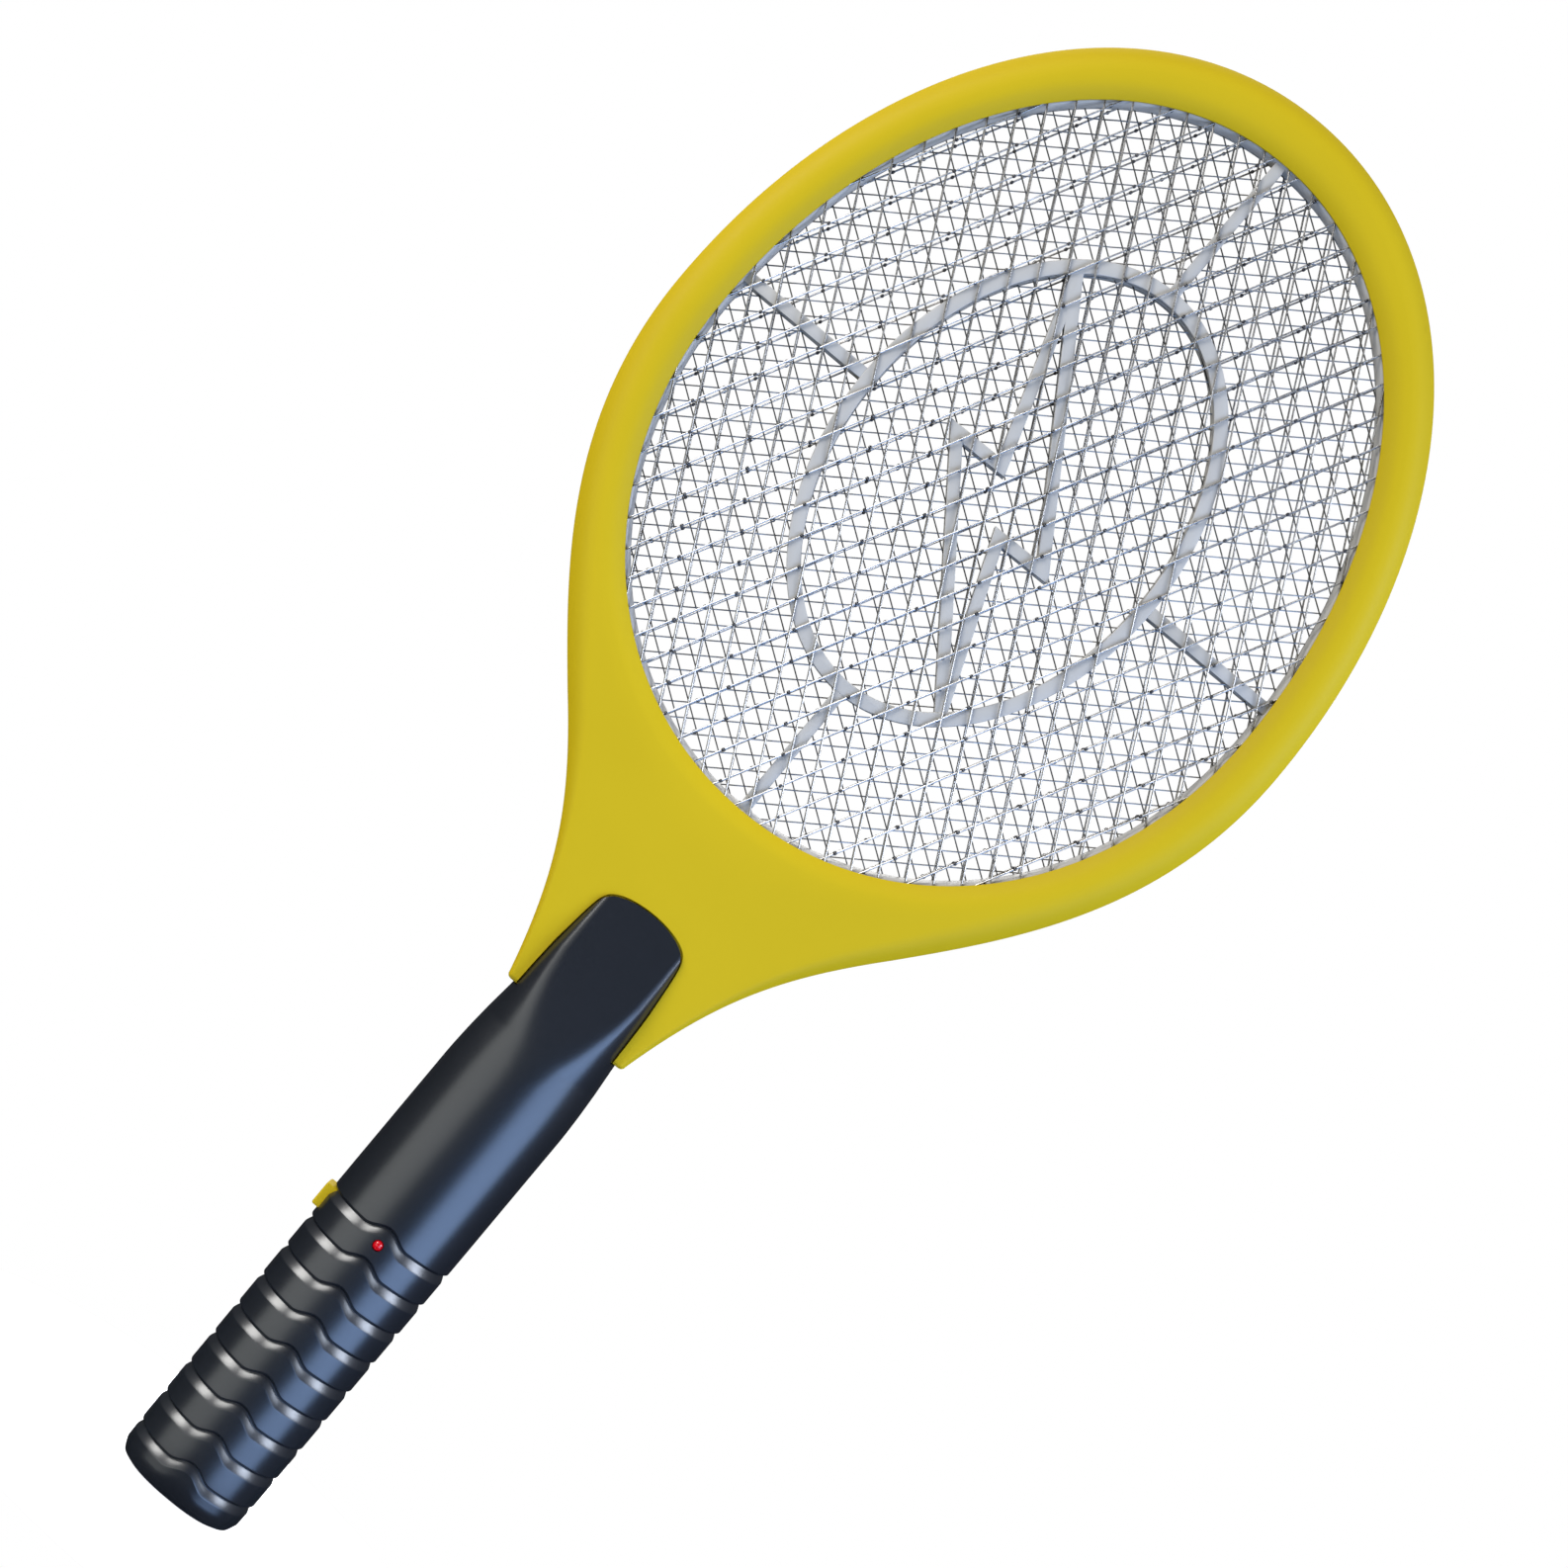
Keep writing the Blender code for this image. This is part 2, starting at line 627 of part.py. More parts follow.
def facet_cutter():
    """A block whose lower face is the sloping flat at the front of the handle."""
    (z1, y1), (z2, y2) = FACET_START, FACET_END
    slope = math.atan2(y1 - y2, z2 - z1)
    block = box((-0.05, -0.05, 0.0), (0.05, 0.0, 0.12), "facet")
    block.data.transform(Matrix.Rotation(-slope, 4, "X"))
    back = 20 * MM
    start = Vector((0.0, -y1 - back * math.tan(slope), z1 - back))
    block.data.transform(Matrix.Translation(start))
    return block


def handle_shell(name):
    """The handle's front half without its bosses."""
    shell = handle_body(name)
    boolean(shell, plate([tongue_plan()], -0.03, 0.03, "tongue_plan"), "INTERSECT")
    cut(shell, facet_cutter())
    cut(shell, box((-0.05, -GAP / 2, -0.01), (0.05, 0.05, 0.22), "rear_half"))
    cut(shell, handle_body("hollow", HANDLE_WALL, 24))
    cut(shell, box((-0.04, -FACE - GAP, NECK_END - GAP), (0.04, 0.05, 0.21), "neck_gap"))
    cut(shell, box((-TANG[0] - GAP, -TANG[1] - GAP, NECK_END - 10 * MM),
                   (TANG[0] + GAP, 0.05, NECK_END + 5 * MM), "tang_gap"))
    return shell


def button_window():
    half_y, half_z = BUTTON_HALF
    return box((-25 * MM, -half_y - GAP, BUTTON_Z - half_z - GAP),
               (-14 * MM, half_y + GAP, BUTTON_Z + half_z + GAP), "button_window")


def add_bosses(shell, side):
    """Screw bosses from the wall to the middle plane or to the tang; side is -1 in front."""
    for x, z in HANDLE_SCREWS:
        start = TANG[1] + GAP if z > TANG_START else GAP / 2
        post = cylinder((x, side * start, z), (x, side * FACET_START[1], z), BOSS + 0.4 * MM,
                        BORE_SIDES, "boss")
        boolean(post, handle_body("boss_limit", HANDLE_WALL / 2, 24), "INTERSECT", "MANIFOLD")
        join(shell, post)


def make_handle():
    front, rear = both_halves(handle_shell("handle_half"), "handle_front", "handle_rear")
    cover = add_object("battery_cover", rear.data.copy(), PARTS)

    # the battery cover is the piece of the rear shell over the cells
    low, high = BAY
    boolean(cover, box((-BAY_HALF_WIDTH + GAP, 2 * MM, low + GAP),
                       (BAY_HALF_WIDTH - GAP, 0.03, high - GAP), "cover_block"), "INTERSECT")
    cut(rear, box((-BAY_HALF_WIDTH, 2 * MM, low), (BAY_HALF_WIDTH, 0.03, high), "bay_block"))

    add_bosses(front, -1)
    add_bosses(rear, 1)
    # a rib that holds the upper battery contacts
    low = PLATE_Z + PLATE_THICK + GAP
    rib = box((-20 * MM, -20 * MM, low), (20 * MM, -GAP, low + 1.2 * MM), "contact_rib")
    boolean(rib, handle_body("rib_limit", HANDLE_WALL / 2, 24), "INTERSECT", "MANIFOLD")
    join(front, rib)
    for x, z in HANDLE_SCREWS:
        cut(front, screw_hole(x, z, SCREW_TOP, False))
        cut(rear, screw_hole(x, z, SCREW_TOP, True))
    x, z = TONGUE_SCREW
    cut(rear, screw_hole(x, z, TONGUE_SCREW_TOP, True))
    cut(front, cylinder((0, -0.02, LED_Z), (0, -0.01, LED_Z), LED_RADIUS + GAP, 16, "led_hole"))
    cut(front, button_window())
    cut(rear, button_window())

    dark = (0.030, 0.036, 0.052)
    as_part(front, "handle_front", dark, 0.38)
    as_part(rear, "handle_rear", dark, 0.38)
    as_part(cover, "battery_cover", dark, 0.38)


# ---- button and switch -------------------------------------------------------------------------
def make_button():
    half_y, half_z = BUTTON_HALF
    button = rounded_box((BUTTON_FACE, -half_y, BUTTON_Z - half_z),
                         (-15.0 * MM, half_y, BUTTON_Z + half_z), 0.5 * MM, "power_button")
    join(button, box((-15.4 * MM, -half_y - 0.9 * MM, BUTTON_Z - half_z - 1.4 * MM),
                     (-14.7 * MM, half_y + 0.9 * MM, BUTTON_Z + half_z + 1.4 * MM), "flange"))
    join(button, cylinder((-15.2 * MM, 0, BUTTON_Z), (-12.6 * MM, 0, BUTTON_Z), 1.2 * MM, 12, "stem"))
    as_part(button, "power_button", (0.63, 0.50, 0.012), 0.4)

    spring = coil((-14.4 * MM, 0, BUTTON_Z), (1, 0, 0), 3.5 * MM, 2.5, 2.2 * MM, 2.2 * MM,
                  0.22 * MM, "button_spring")
    as_part(spring, "button_spring", (0.6, 0.6, 0.6), 0.3, 1.0)

    plunger = cylinder((-12.3 * MM, 0, BUTTON_Z), (-10.0 * MM, 0, BUTTON_Z), 1.3 * MM, 12)
    as_part(plunger, "switch_plunger", (0.35, 0.02, 0.02), 0.4)
    body = rounded_box((-10.6 * MM, -2.9 * MM, BUTTON_Z - 3 * MM),
                       (-4.6 * MM, ON_BOARD, BUTTON_Z + 3 * MM), 0.3 * MM, "switch_body")
    well = cylinder((-11 * MM, 0, BUTTON_Z), (-7.9 * MM, 0, BUTTON_Z), 1.6 * MM, 12, "plunger_well")
    cut(body, well)
    as_part(body, "switch_body", (0.03, 0.03, 0.03), 0.5)


# ---- circuit -----------------------------------------------------------------------------------
def legs(places, start, end):
    """Square wire legs from y = start to y = end."""
    half = 0.28 * MM
    return [box((x - half, start, z - half), (x + half, end, z + half), "leg") for x, z in places]


def make_led():
    tip = -15.5 * MM
    profile = [(tip, 0.45 * MM), (tip + 0.25 * MM, 0.95 * MM), (tip + 0.75 * MM, 1.38 * MM),
               (tip + 1.4 * MM, LED_RADIUS), (-11.6 * MM, LED_RADIUS), (-11.6 * MM, 1.9 * MM),
               (-10.8 * MM, 1.9 * MM)]
    led = turned(profile, (0, 0, LED_Z), (0, 1, 0), 16, "led")
    join(led, *legs(((-0.9 * MM, LED_Z), (0.9 * MM, LED_Z)), -11.0 * MM, ON_BOARD))
    as_part(led, "led", (0.55, 0.005, 0.01), 0.15)


def make_transformer():
    low = 92.5 * MM
    high = 104.5 * MM
    core = rounded_box((-6.5 * MM, -8 * MM, low), (6.5 * MM, ON_BOARD, high), 0.4 * MM, "core")
    cut(core, box((-3.9 * MM, -12 * MM, low + 2.6 * MM), (3.9 * MM, 6 * MM, high - 2.6 * MM), "window"))
    as_part(core, "transformer_core", (0.05, 0.05, 0.055), 0.6)
    winding = rounded_box((-3.6 * MM, -10 * MM, low + 2.9 * MM), (3.6 * MM, ON_BOARD, high - 2.9 * MM),
                          1.0 * MM, "winding")
    as_part(winding, "transformer_winding", (0.50, 0.20, 0.05), 0.35)


def make_small_parts():
    film = rounded_box((-11.5 * MM, -7 * MM, 107 * MM), (-1.5 * MM, ON_BOARD, 121 * MM), 0.8 * MM)
    as_part(film, "storage_capacitor", (0.42, 0.03, 0.02), 0.35)
    for k in range(2):
        low = (107.5 + 7 * k) * MM
        disc = rounded_box((1.5 * MM, -4.5 * MM, low), (4.7 * MM, ON_BOARD, low + 6 * MM), 1.2 * MM)
        as_part(disc, f"multiplier_capacitor_{k + 1}", (0.55, 0.32, 0.05), 0.4)
    for k, (x, low) in enumerate(((7.2, 107.0), (9.9, 107.0), (8.2, 92.5))):
        make_axial(f"rectifier_diode_{k + 1}", x * MM, low * MM, 4.6 * MM, 1.2 * MM, (0.02, 0.02, 0.02))
    make_axial("bleed_resistor", 11.0 * MM, 92.5 * MM, 6.0 * MM, 1.1 * MM, (0.55, 0.42, 0.25))
    make_axial("base_resistor", 5.0 * MM, 80.5 * MM, 6.0 * MM, 1.1 * MM, (0.55, 0.42, 0.25))
    transistor = turned([(-5.0 * MM, 2.2 * MM), (-0.4 * MM, 2.2 * MM)], (-9.3 * MM, 0, 95.5 * MM),
                        (0, 1, 0), 14, "transistor")
    cut(transistor, box((-14 * MM, -6 * MM, 96.9 * MM), (-6 * MM, 1 * MM, 99.5 * MM), "flat"))
    join(transistor, *legs([(-10.5 * MM, 95.5 * MM), (-9.3 * MM, 95.5 * MM), (-8.1 * MM, 95.5 * MM)],
                           -1.0 * MM, ON_BOARD))
    as_part(transistor, "transistor", (0.03, 0.03, 0.03), 0.45)


def make_axial(name, x, low, length, radius, colour):
    """A diode or resistor lying along the board, with its two bent legs."""
    y = ON_BOARD - radius - 0.6 * MM
    lead = 0.3 * MM
    profile = [(0, lead), (1.4 * MM, lead), (1.4 * MM, radius), (1.4 * MM + length, radius),
               (1.4 * MM + length, lead), (2.8 * MM + length, lead)]
    part = turned(profile, (x, y, low), (0, 0, 1), 10, name)
    top = low + 2.8 * MM + length
    for z in (low + lead, top - lead):
        join(part, box((x - 0.26 * MM, y - 0.1 * MM, z - 0.26 * MM),
                       (x + 0.26 * MM, ON_BOARD, z + 0.26 * MM), "leg"))
    as_part(part, name, colour, 0.4)


def make_board():
    half_x, front, back, low, high = BOARD
    board = box((-half_x, front, low), (half_x, back, high), "circuit_board")
    as_part(board, "circuit_board", (0.02, 0.14, 0.05), 0.45)


# ---- batteries and contacts ------------------------------------------------------------------------
def make_cell(name, x, bottom, nub_up):
    sign = 1.0 if nub_up else -1.0
    start = bottom if nub_up else bottom + CELL_LENGTH + CELL_NUB
    edge = 0.5 * MM
    profile = [(0, CELL_RADIUS - edge), (edge, CELL_RADIUS), (CELL_LENGTH - edge, CELL_RADIUS),
               (CELL_LENGTH, CELL_RADIUS - edge), (CELL_LENGTH, 2.6 * MM),
               (CELL_LENGTH + CELL_NUB, 2.4 * MM)]
    cell = turned(profile, (x, 0, start), (0, 0, sign), 24, name)
    as_part(cell, name, (0.04, 0.10, 0.22), 0.35)


def make_power():
    spring_length = 4.9 * MM
    low = BRIDGE_Z + PLATE_THICK + GAP
    make_cell("battery_1", -CELL_X, low + spring_length + GAP, True)
    make_cell("battery_2", CELL_X, low, False)
    steel = (0.62, 0.62, 0.63)
    bridge = box((-13.2 * MM, -5 * MM, BRIDGE_Z), (13.2 * MM, 5 * MM, BRIDGE_Z + PLATE_THICK))
    as_part(bridge, "battery_bridge", steel, 0.3, 1.0)
    for name, x in (("positive_contact", -CELL_X), ("negative_contact", CELL_X)):
        contact = box((x - 5 * MM, -5 * MM, PLATE_Z), (x + 5 * MM, 5 * MM, PLATE_Z + PLATE_THICK))
        as_part(contact, name, steel, 0.3, 1.0)
    lower = coil((-CELL_X, 0, low), (0, 0, 1), spring_length, 3.5, 4.2 * MM, 2.8 * MM, 0.35 * MM, "lower")
    as_part(lower, "lower_battery_spring", steel, 0.3, 1.0)
    upper = coil((CELL_X, 0, PLATE_Z - GAP), (0, 0, -1), spring_length, 3.5, 4.2 * MM, 2.8 * MM,
                 0.35 * MM, "upper")
    as_part(upper, "upper_battery_spring", steel, 0.3, 1.0)


# ---- leads -----------------------------------------------------------------------------------------
def make_lead(name, places, colour):
    path = smooth_path([(x * MM, y * MM, z * MM) for x, y, z in places], 3)
    lead = wire(path, 0.6 * MM, name)
    as_part(lead, name, colour, 0.5)


def make_leads():
    make_lead("battery_lead_red", ((-7.0, 2.4, 62.1), (-6.4, 2.2, 64), (-5.6, 1.4, 68), (-3.6, 0.8, 74),
                                   (-3.3, 1.0, 78), (-3.3, 2.2, 79.4)), (0.5, 0.01, 0.01))
    make_lead("battery_lead_black", ((7.0, 2.4, 62.1), (6.4, 2.2, 64), (5.6, 1.4, 68), (4.0, 0.8, 73),
                                     (2.4, 1.0, 77), (1.8, 2.2, 78.4)), (0.01, 0.01, 0.01))
    make_lead("net_lead", ((6.5, 2.2, 117), (6.8, -1.5, 121), (6.0, -2.4, 130), (6.0, -2.4, 146),
                           (5.5, -2.4, 161), (5.0, -2.2, 181), (3.0, -2.2, 201), (0.0, -0.8, 214),
                           (0.0, -0.9, 220.0)), (0.5, 0.01, 0.01))
    make_lead("front_grid_lead", ((10.0, 2.2, 117), (9.4, -2.4, 120), (7.9, -3.0, 130),
                                  (7.9, -3.2, 146), (8.2, -3.4, 161), (7.6, -3.4, 181),
                                  (5.0, -3.6, 203), (3.5, -3.7, 214), (3.5, -3.7, 220.6)),
              (0.01, 0.01, 0.01))
    make_lead("rear_grid_lead", ((-9.5, 5.8, 114), (-9.3, 5.8, 120), (-8.7, 5.1, 123.2),
                                 (-7.9, 3.1, 125.5), (-7.6, 2.9, 129), (-7.6, 3.0, 146),
                                 (-7.6, 3.2, 161), (-7.0, 3.4, 181),
                                 (-5.0, 3.6, 203), (-3.5, 3.7, 214), (-3.5, 3.7, 220.6)),
              (0.01, 0.01, 0.01))


# ---- screws ----------------------------------------------------------------------------------------
def make_screws():
    """One screw with a cross in its head, copied to every place."""
    head_radius, head_height = SCREW_HEAD
    shank_radius, shank_length = SCREW_SHANK
    profile = [(0.0, head_radius), (-head_height, head_radius), (-head_height, shank_radius),
               (-head_height - shank_length, 0.5 * MM)]
    pattern = turned(list(reversed(profile)), (0, 0, 0), (0, 1, 0), BORE_SIDES, "screw_pattern")
    for across, up in ((1.2 * MM, 0.28 * MM), (0.28 * MM, 1.2 * MM)):
        cut(pattern, box((-across, -0.7 * MM, -up), (across, 1.0 * MM, up), "cross"))
    mesh = baked_mesh(pattern, "screw")
    as_cutter(pattern)
    places = [(f"frame_screw_{i + 1}", place, SCREW_TOP) for i, place in enumerate(frame_screw_places())]
    places += [(f"handle_screw_{i + 1}", place, SCREW_TOP) for i, place in enumerate(HANDLE_SCREWS)]
    places.append(("tongue_screw", TONGUE_SCREW, TONGUE_SCREW_TOP))
    for name, (x, z), top in places:
        screw = add_object(name, mesh.copy(), PARTS)
        screw.location = (x, top, z)
        as_part(screw, name, (0.55, 0.55, 0.56), 0.3, 1.0)


def main():
    make_frames()
    make_nets()
    make_handle()
    make_button()
    make_board()
    make_led()
    make_transformer()
    make_small_parts()
    make_power()
    make_leads()
    make_screws()


main()
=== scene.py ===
"""Looks of the electric fly swatter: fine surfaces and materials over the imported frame."""
import math

import bmesh
import bpy
from mathutils import Matrix, Vector


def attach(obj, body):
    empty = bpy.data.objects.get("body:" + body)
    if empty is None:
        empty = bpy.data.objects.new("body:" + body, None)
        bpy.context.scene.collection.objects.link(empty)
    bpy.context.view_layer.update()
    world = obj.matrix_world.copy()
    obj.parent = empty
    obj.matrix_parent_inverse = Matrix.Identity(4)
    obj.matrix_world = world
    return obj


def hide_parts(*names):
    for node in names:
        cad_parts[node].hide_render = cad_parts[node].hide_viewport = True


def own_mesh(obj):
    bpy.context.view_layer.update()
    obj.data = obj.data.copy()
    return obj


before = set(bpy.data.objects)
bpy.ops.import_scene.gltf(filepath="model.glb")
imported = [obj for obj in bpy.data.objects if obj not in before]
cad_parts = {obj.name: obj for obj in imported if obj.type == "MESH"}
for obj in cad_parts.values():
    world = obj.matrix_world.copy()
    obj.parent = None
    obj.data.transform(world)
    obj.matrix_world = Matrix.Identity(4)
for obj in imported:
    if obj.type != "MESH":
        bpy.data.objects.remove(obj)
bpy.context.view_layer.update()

MM = 0.001
GAP = 0.3 * MM

# ---- sizes shared with the model ----
HEAD_TIP = 455.6 * MM
HEAD_WIDEST = 320.4 * MM
HEAD_HALF_WIDTH = 99.4 * MM
HEAD_POWER = 2.04
NECK_END = 156.0 * MM
NECK_HALF_WIDTH = 19.2 * MM
NECK_CORNER = 1.5 * MM
FLARE = (221.5 * MM, 53.8 * MM)
FACE = 8.0 * MM
OPEN_CENTRE = 323.0 * MM
OPEN_HALF_WIDTH = 87.0 * MM
OPEN_BELOW = 96.6 * MM
OPEN_ABOVE = 118.2 * MM
OPEN_POWER = 2.04
SPACER_IN = 0.5 * MM
SPACER_OUT = 3.6 * MM
GRID_MID = 4.1 * MM
POCKET = 4.6 * MM
SEAT = 5.0 * MM
RIM_SHOWS = 1.2 * MM
RING_CENTRE = 332.1 * MM
RING_HEIGHT = 66.8 * MM
RING_WIDTH = 47.9 * MM
RING_BAND = 3.8 * MM
SPOKE = 3.2 * MM
BOLT_BAR = 3.3 * MM
BOLT = ((-22.0, 54.0), (20.0, -9.8), (5.5, -10.0), (23.0, -54.0), (-20.2, 4.0), (-5.5, 4.2))

GRIP_POWER = 2.25
TONGUE_POWER = 3.5
SQUARER = (146.5 * MM, 170.5 * MM)
HANDLE_WALL = 2.0 * MM
HANDLE = (
    (0.0, 15.3, 11.9), (0.8, 17.0, 13.6), (2.8, 18.1, 14.7), (10.0, 18.3, 15.0),
    (94.0, 18.6, 15.0), (132.5, 18.6, 15.0), (139.5, 18.3, 15.0), (146.5, 17.8, 14.9),
    (154.5, 17.0, 14.6), (162.5, 16.4, 14.2), (170.5, 15.8, 13.6), (178.5, 15.2, 13.0),
    (185.5, 14.6, 12.4), (193.5, 13.9, 11.8),
)
GROOVES = 9
GROOVE_TOP = 85.4 * MM
GROOVE_STEP = 9.65 * MM
GROOVE_DEPTH = 1.05 * MM
GROOVE_WAVE = 2.5 * MM
WAVE_REACH = 7.0 * MM
TONGUE_TIP = 191.5 * MM
FACET_START = (144.0 * MM, 15.0 * MM)
FACET_END = (191.5 * MM, 8.9 * MM)
BAY = (4.7 * MM, 64.3 * MM)
BAY_HALF_WIDTH = 15.6 * MM
CELL_RADIUS = 7.1 * MM
CELL_LENGTH = 49.4 * MM
CELL_NUB = 1.1 * MM
CELL_X = 7.45 * MM
BRIDGE_Z = 4.2 * MM
PLATE_Z = 61.0 * MM
PLATE_THICK = 0.5 * MM
BUTTON_Z = 82.6 * MM
BUTTON_HALF = (4.0 * MM, 3.4 * MM)
BUTTON_FACE = -20.3 * MM
LED_Z = 83.8 * MM
LED_RADIUS = 1.5 * MM
SCREW_HEAD = (2.1 * MM, 1.4 * MM)
SCREW_SHANK = (0.95 * MM, 11.6 * MM)
SCREW_TOP = 7.6 * MM
TONGUE_SCREW_TOP = 10.7 * MM
RIM_SCREWS = (28.0, 68.0, 112.0, 152.0, 205.0, 335.0)
RIM_SCREW_OUT = 7.4 * MM            # from the opening's edge
NECK_SCREWS = ((-17.0 * MM, 199.0 * MM), (17.0 * MM, 199.0 * MM))
HANDLE_SCREWS = ((-11.0 * MM, 68.8 * MM), (11.0 * MM, 68.8 * MM), (0.0, 141.0 * MM))
TONGUE_SCREW = (0.0, 176.0 * MM)

# ---- sizes that only the looks have ----
FLANK_START = -1.7 * MM             # a groove's slope starts here, measured up from its place
FLANK_POWER = 1.2
GROOVE_BED = 0.6 * MM               # where it is deepest
WALL_END = 1.5 * MM                 # the top of its steep wall
GROOVE_RINGS = (-3.4, -1.85, -1.7, -1.6, -1.3, -0.9, -0.5, -0.1, 0.3, 0.55, 0.65, 0.8, 0.95,
                1.1, 1.25, 1.38, 1.5, 1.65)
TONGUE_LEVEL = 138 * MM             # rings lie closer together above this
HANDLE_SIDES = 200
HOLLOW_SIDES = 64
BAY_DEPTH = 2 * MM                  # the cover's opening is cut down to here
BAY_EDGE = 0.4 * MM                 # rounding of its edges
BUTTON_EDGE = 0.6 * MM
BUTTON_ROOT = -15.0 * MM            # the cap ends here, on its flange
FLANGE = (-15.4 * MM, -14.7 * MM)
FLANGE_WIDER = (0.9 * MM, 1.4 * MM)  # than the cap, across and along
LED_TIP = -15.5 * MM
LED_STEPS = 10
LED_LEG = 0.25 * MM                 # half width
CELL_SPRING = 4.9 * MM              # length
CELL_SPRING_SHAPE = (3.5, 4.2 * MM, 2.8 * MM, 0.35 * MM)  # turns, radii at its ends, wire radius
BUTTON_SPRING = 3.5 * MM
BUTTON_SPRING_SHAPE = (2.5, 2.2 * MM, 2.2 * MM, 0.22 * MM)
BUTTON_SPRING_SEAT = -10.9 * MM
COIL_STEPS = 28                     # to a turn
BUMP_DISTANCE = 0.1 * MM
CROWN = 6.35 * MM                   # how far from an edge the rim's crown reaches
CROWN_DROP = 3.5 * MM               # how far the crown falls at the outer edge
LIP_DROP = 2.5 * MM                 # and at the opening
CROWN_POWER = 2.2
CREST = 0.5 * MM                    # least width of the flat between the two
NECK_ROUND = 1.3 * MM               # width of the neck's rounded edge
NECK_FADE = (168 * MM, 76 * MM)     # the crown widens from here up, over this length
CROWN_STEPS = (0.0, 0.015, 0.05, 0.11, 0.19, 0.3, 0.43, 0.58, 0.78, 1.0)
FLAT_STEPS = 7
CHAMFER = 0.1 * MM                  # at the pocket's edge behind the lip
SIDE_EASE = 0.5 * MM                # the crown's edge starts this far up the side wall
OVAL_SIDES = 240
ELLIPSE_SIDES = 180
COARSE_ANGLE = 27.5                 # wires of the outer nets, from the long axis
COARSE_STEP = 7.1 * MM
COARSE_RADIUS = 0.25 * MM
FINE_ANGLE = 55.0
FINE_STEP = 4.05 * MM
FINE_RADIUS = 0.20 * MM
COARSE_WEAVE = 0.2 * MM             # how far a wire bends to each side at its crossings
FINE_WEAVE = 0.16 * MM
KNOT_SIZE = (0.54 * MM, 0.42 * MM, 0.62 * MM)
MAX_WIRES = 40                      # to each side of the middle one
MAX_CELLS = 60
FACET_ROUND = 1.0 * MM
SPACER_EDGE = 0.25 * MM             # rounding of the spacers' bars
BAR_STEP = 0.12 * MM                # spokes and bolt sign are this much thinner than the ring
BAR_REACH = 2 * MM                  # how far spokes run into the rim and the ring
SHADOW_GAP = 0.4 * MM               # round the tongue on the neck
GAP_DEPTH = 1.6 * MM
GAP_LEVEL = 170 * MM                # above this the gap follows the tongue's plan
GAP_TIP = (183 * MM, 6 * MM)        # the gap widens past the tip from here, over this length
GAP_CLOSE = 8 * MM                  # and narrows sideways within this of the middle
SEAM = 0.04 * MM                    # between the lips of two halves, inside the seam
SEAM_LIP = 0.9 * MM                 # how far in from the outside the lips start


# ---- mesh helpers ----
def add_mesh(bm, name):
    bmesh.ops.recalc_face_normals(bm, faces=bm.faces)
    mesh = bpy.data.meshes.new(name)
    bm.to_mesh(mesh)
    bm.free()
    obj = bpy.data.objects.new(name, mesh)
    bpy.context.scene.collection.objects.link(obj)
    return obj


def smooth(obj, degrees=35.0):
    obj.data.shade_smooth()
    obj.data.set_sharp_from_angle(angle=math.radians(degrees))
    return obj


def solve(target, other, operation, solver="EXACT"):
    """Apply one Boolean to the mesh itself."""
    modifier = target.modifiers.new("step", "BOOLEAN")
    modifier.operation = operation
    modifier.solver = solver
    modifier.object = other
    bpy.context.view_layer.update()
    evaluated = target.evaluated_get(bpy.context.evaluated_depsgraph_get())
    mesh = bpy.data.meshes.new_from_object(evaluated)
    target.modifiers.clear()
    old = target.data
    target.data = mesh
    bpy.data.meshes.remove(old)
    mesh = other.data
    bpy.data.objects.remove(other, do_unlink=True)
    bpy.data.meshes.remove(mesh)
    return target


def box(low, high, name="box", radius=0.0, segments=3):
    bm = bmesh.new()
    size = Vector(high) - Vector(low)
    middle = (Vector(high) + Vector(low)) / 2
    place = Matrix.Translation(middle) @ Matrix.Diagonal((*size, 1.0))
    bmesh.ops.create_cube(bm, size=1.0, matrix=place)
    if radius:
        bmesh.ops.bevel(bm, geom=bm.edges, offset=radius, segments=segments, profile=0.5,
                        affect="EDGES", clamp_overlap=True)
    return add_mesh(bm, name)


def skin(bm, rings, closed=False):
    """Join a stack of rings of equal size, and cap it or join its ends."""
    count = len(rings[0])
    pairs = list(zip(rings, rings[1:]))
    if closed:
        pairs.append((rings[-1], rings[0]))
    for lower, upper in pairs:
        for i in range(count):
            j = (i + 1) % count
            bm.faces.new((lower[i], lower[j], upper[j], upper[i]))
    if not closed:
        bm.faces.new(list(reversed(rings[0])))
        bm.faces.new(rings[-1])


def turned(profile, start, axis, sides, name):
    """A turned solid: profile is a list of (distance along the axis, radius)."""
    bm = bmesh.new()
    turn = Vector(axis).to_track_quat("Z", "Y").to_matrix()
    rings = []
    for along, radius in profile:
        ring = []
        for i in range(sides):
            angle = 2 * math.pi * i / sides
            point = Vector((radius * math.cos(angle), radius * math.sin(angle), along))
            ring.append(bm.verts.new(Vector(start) + turn @ point))
        rings.append(ring)
    skin(bm, rings)
    return add_mesh(bm, name)


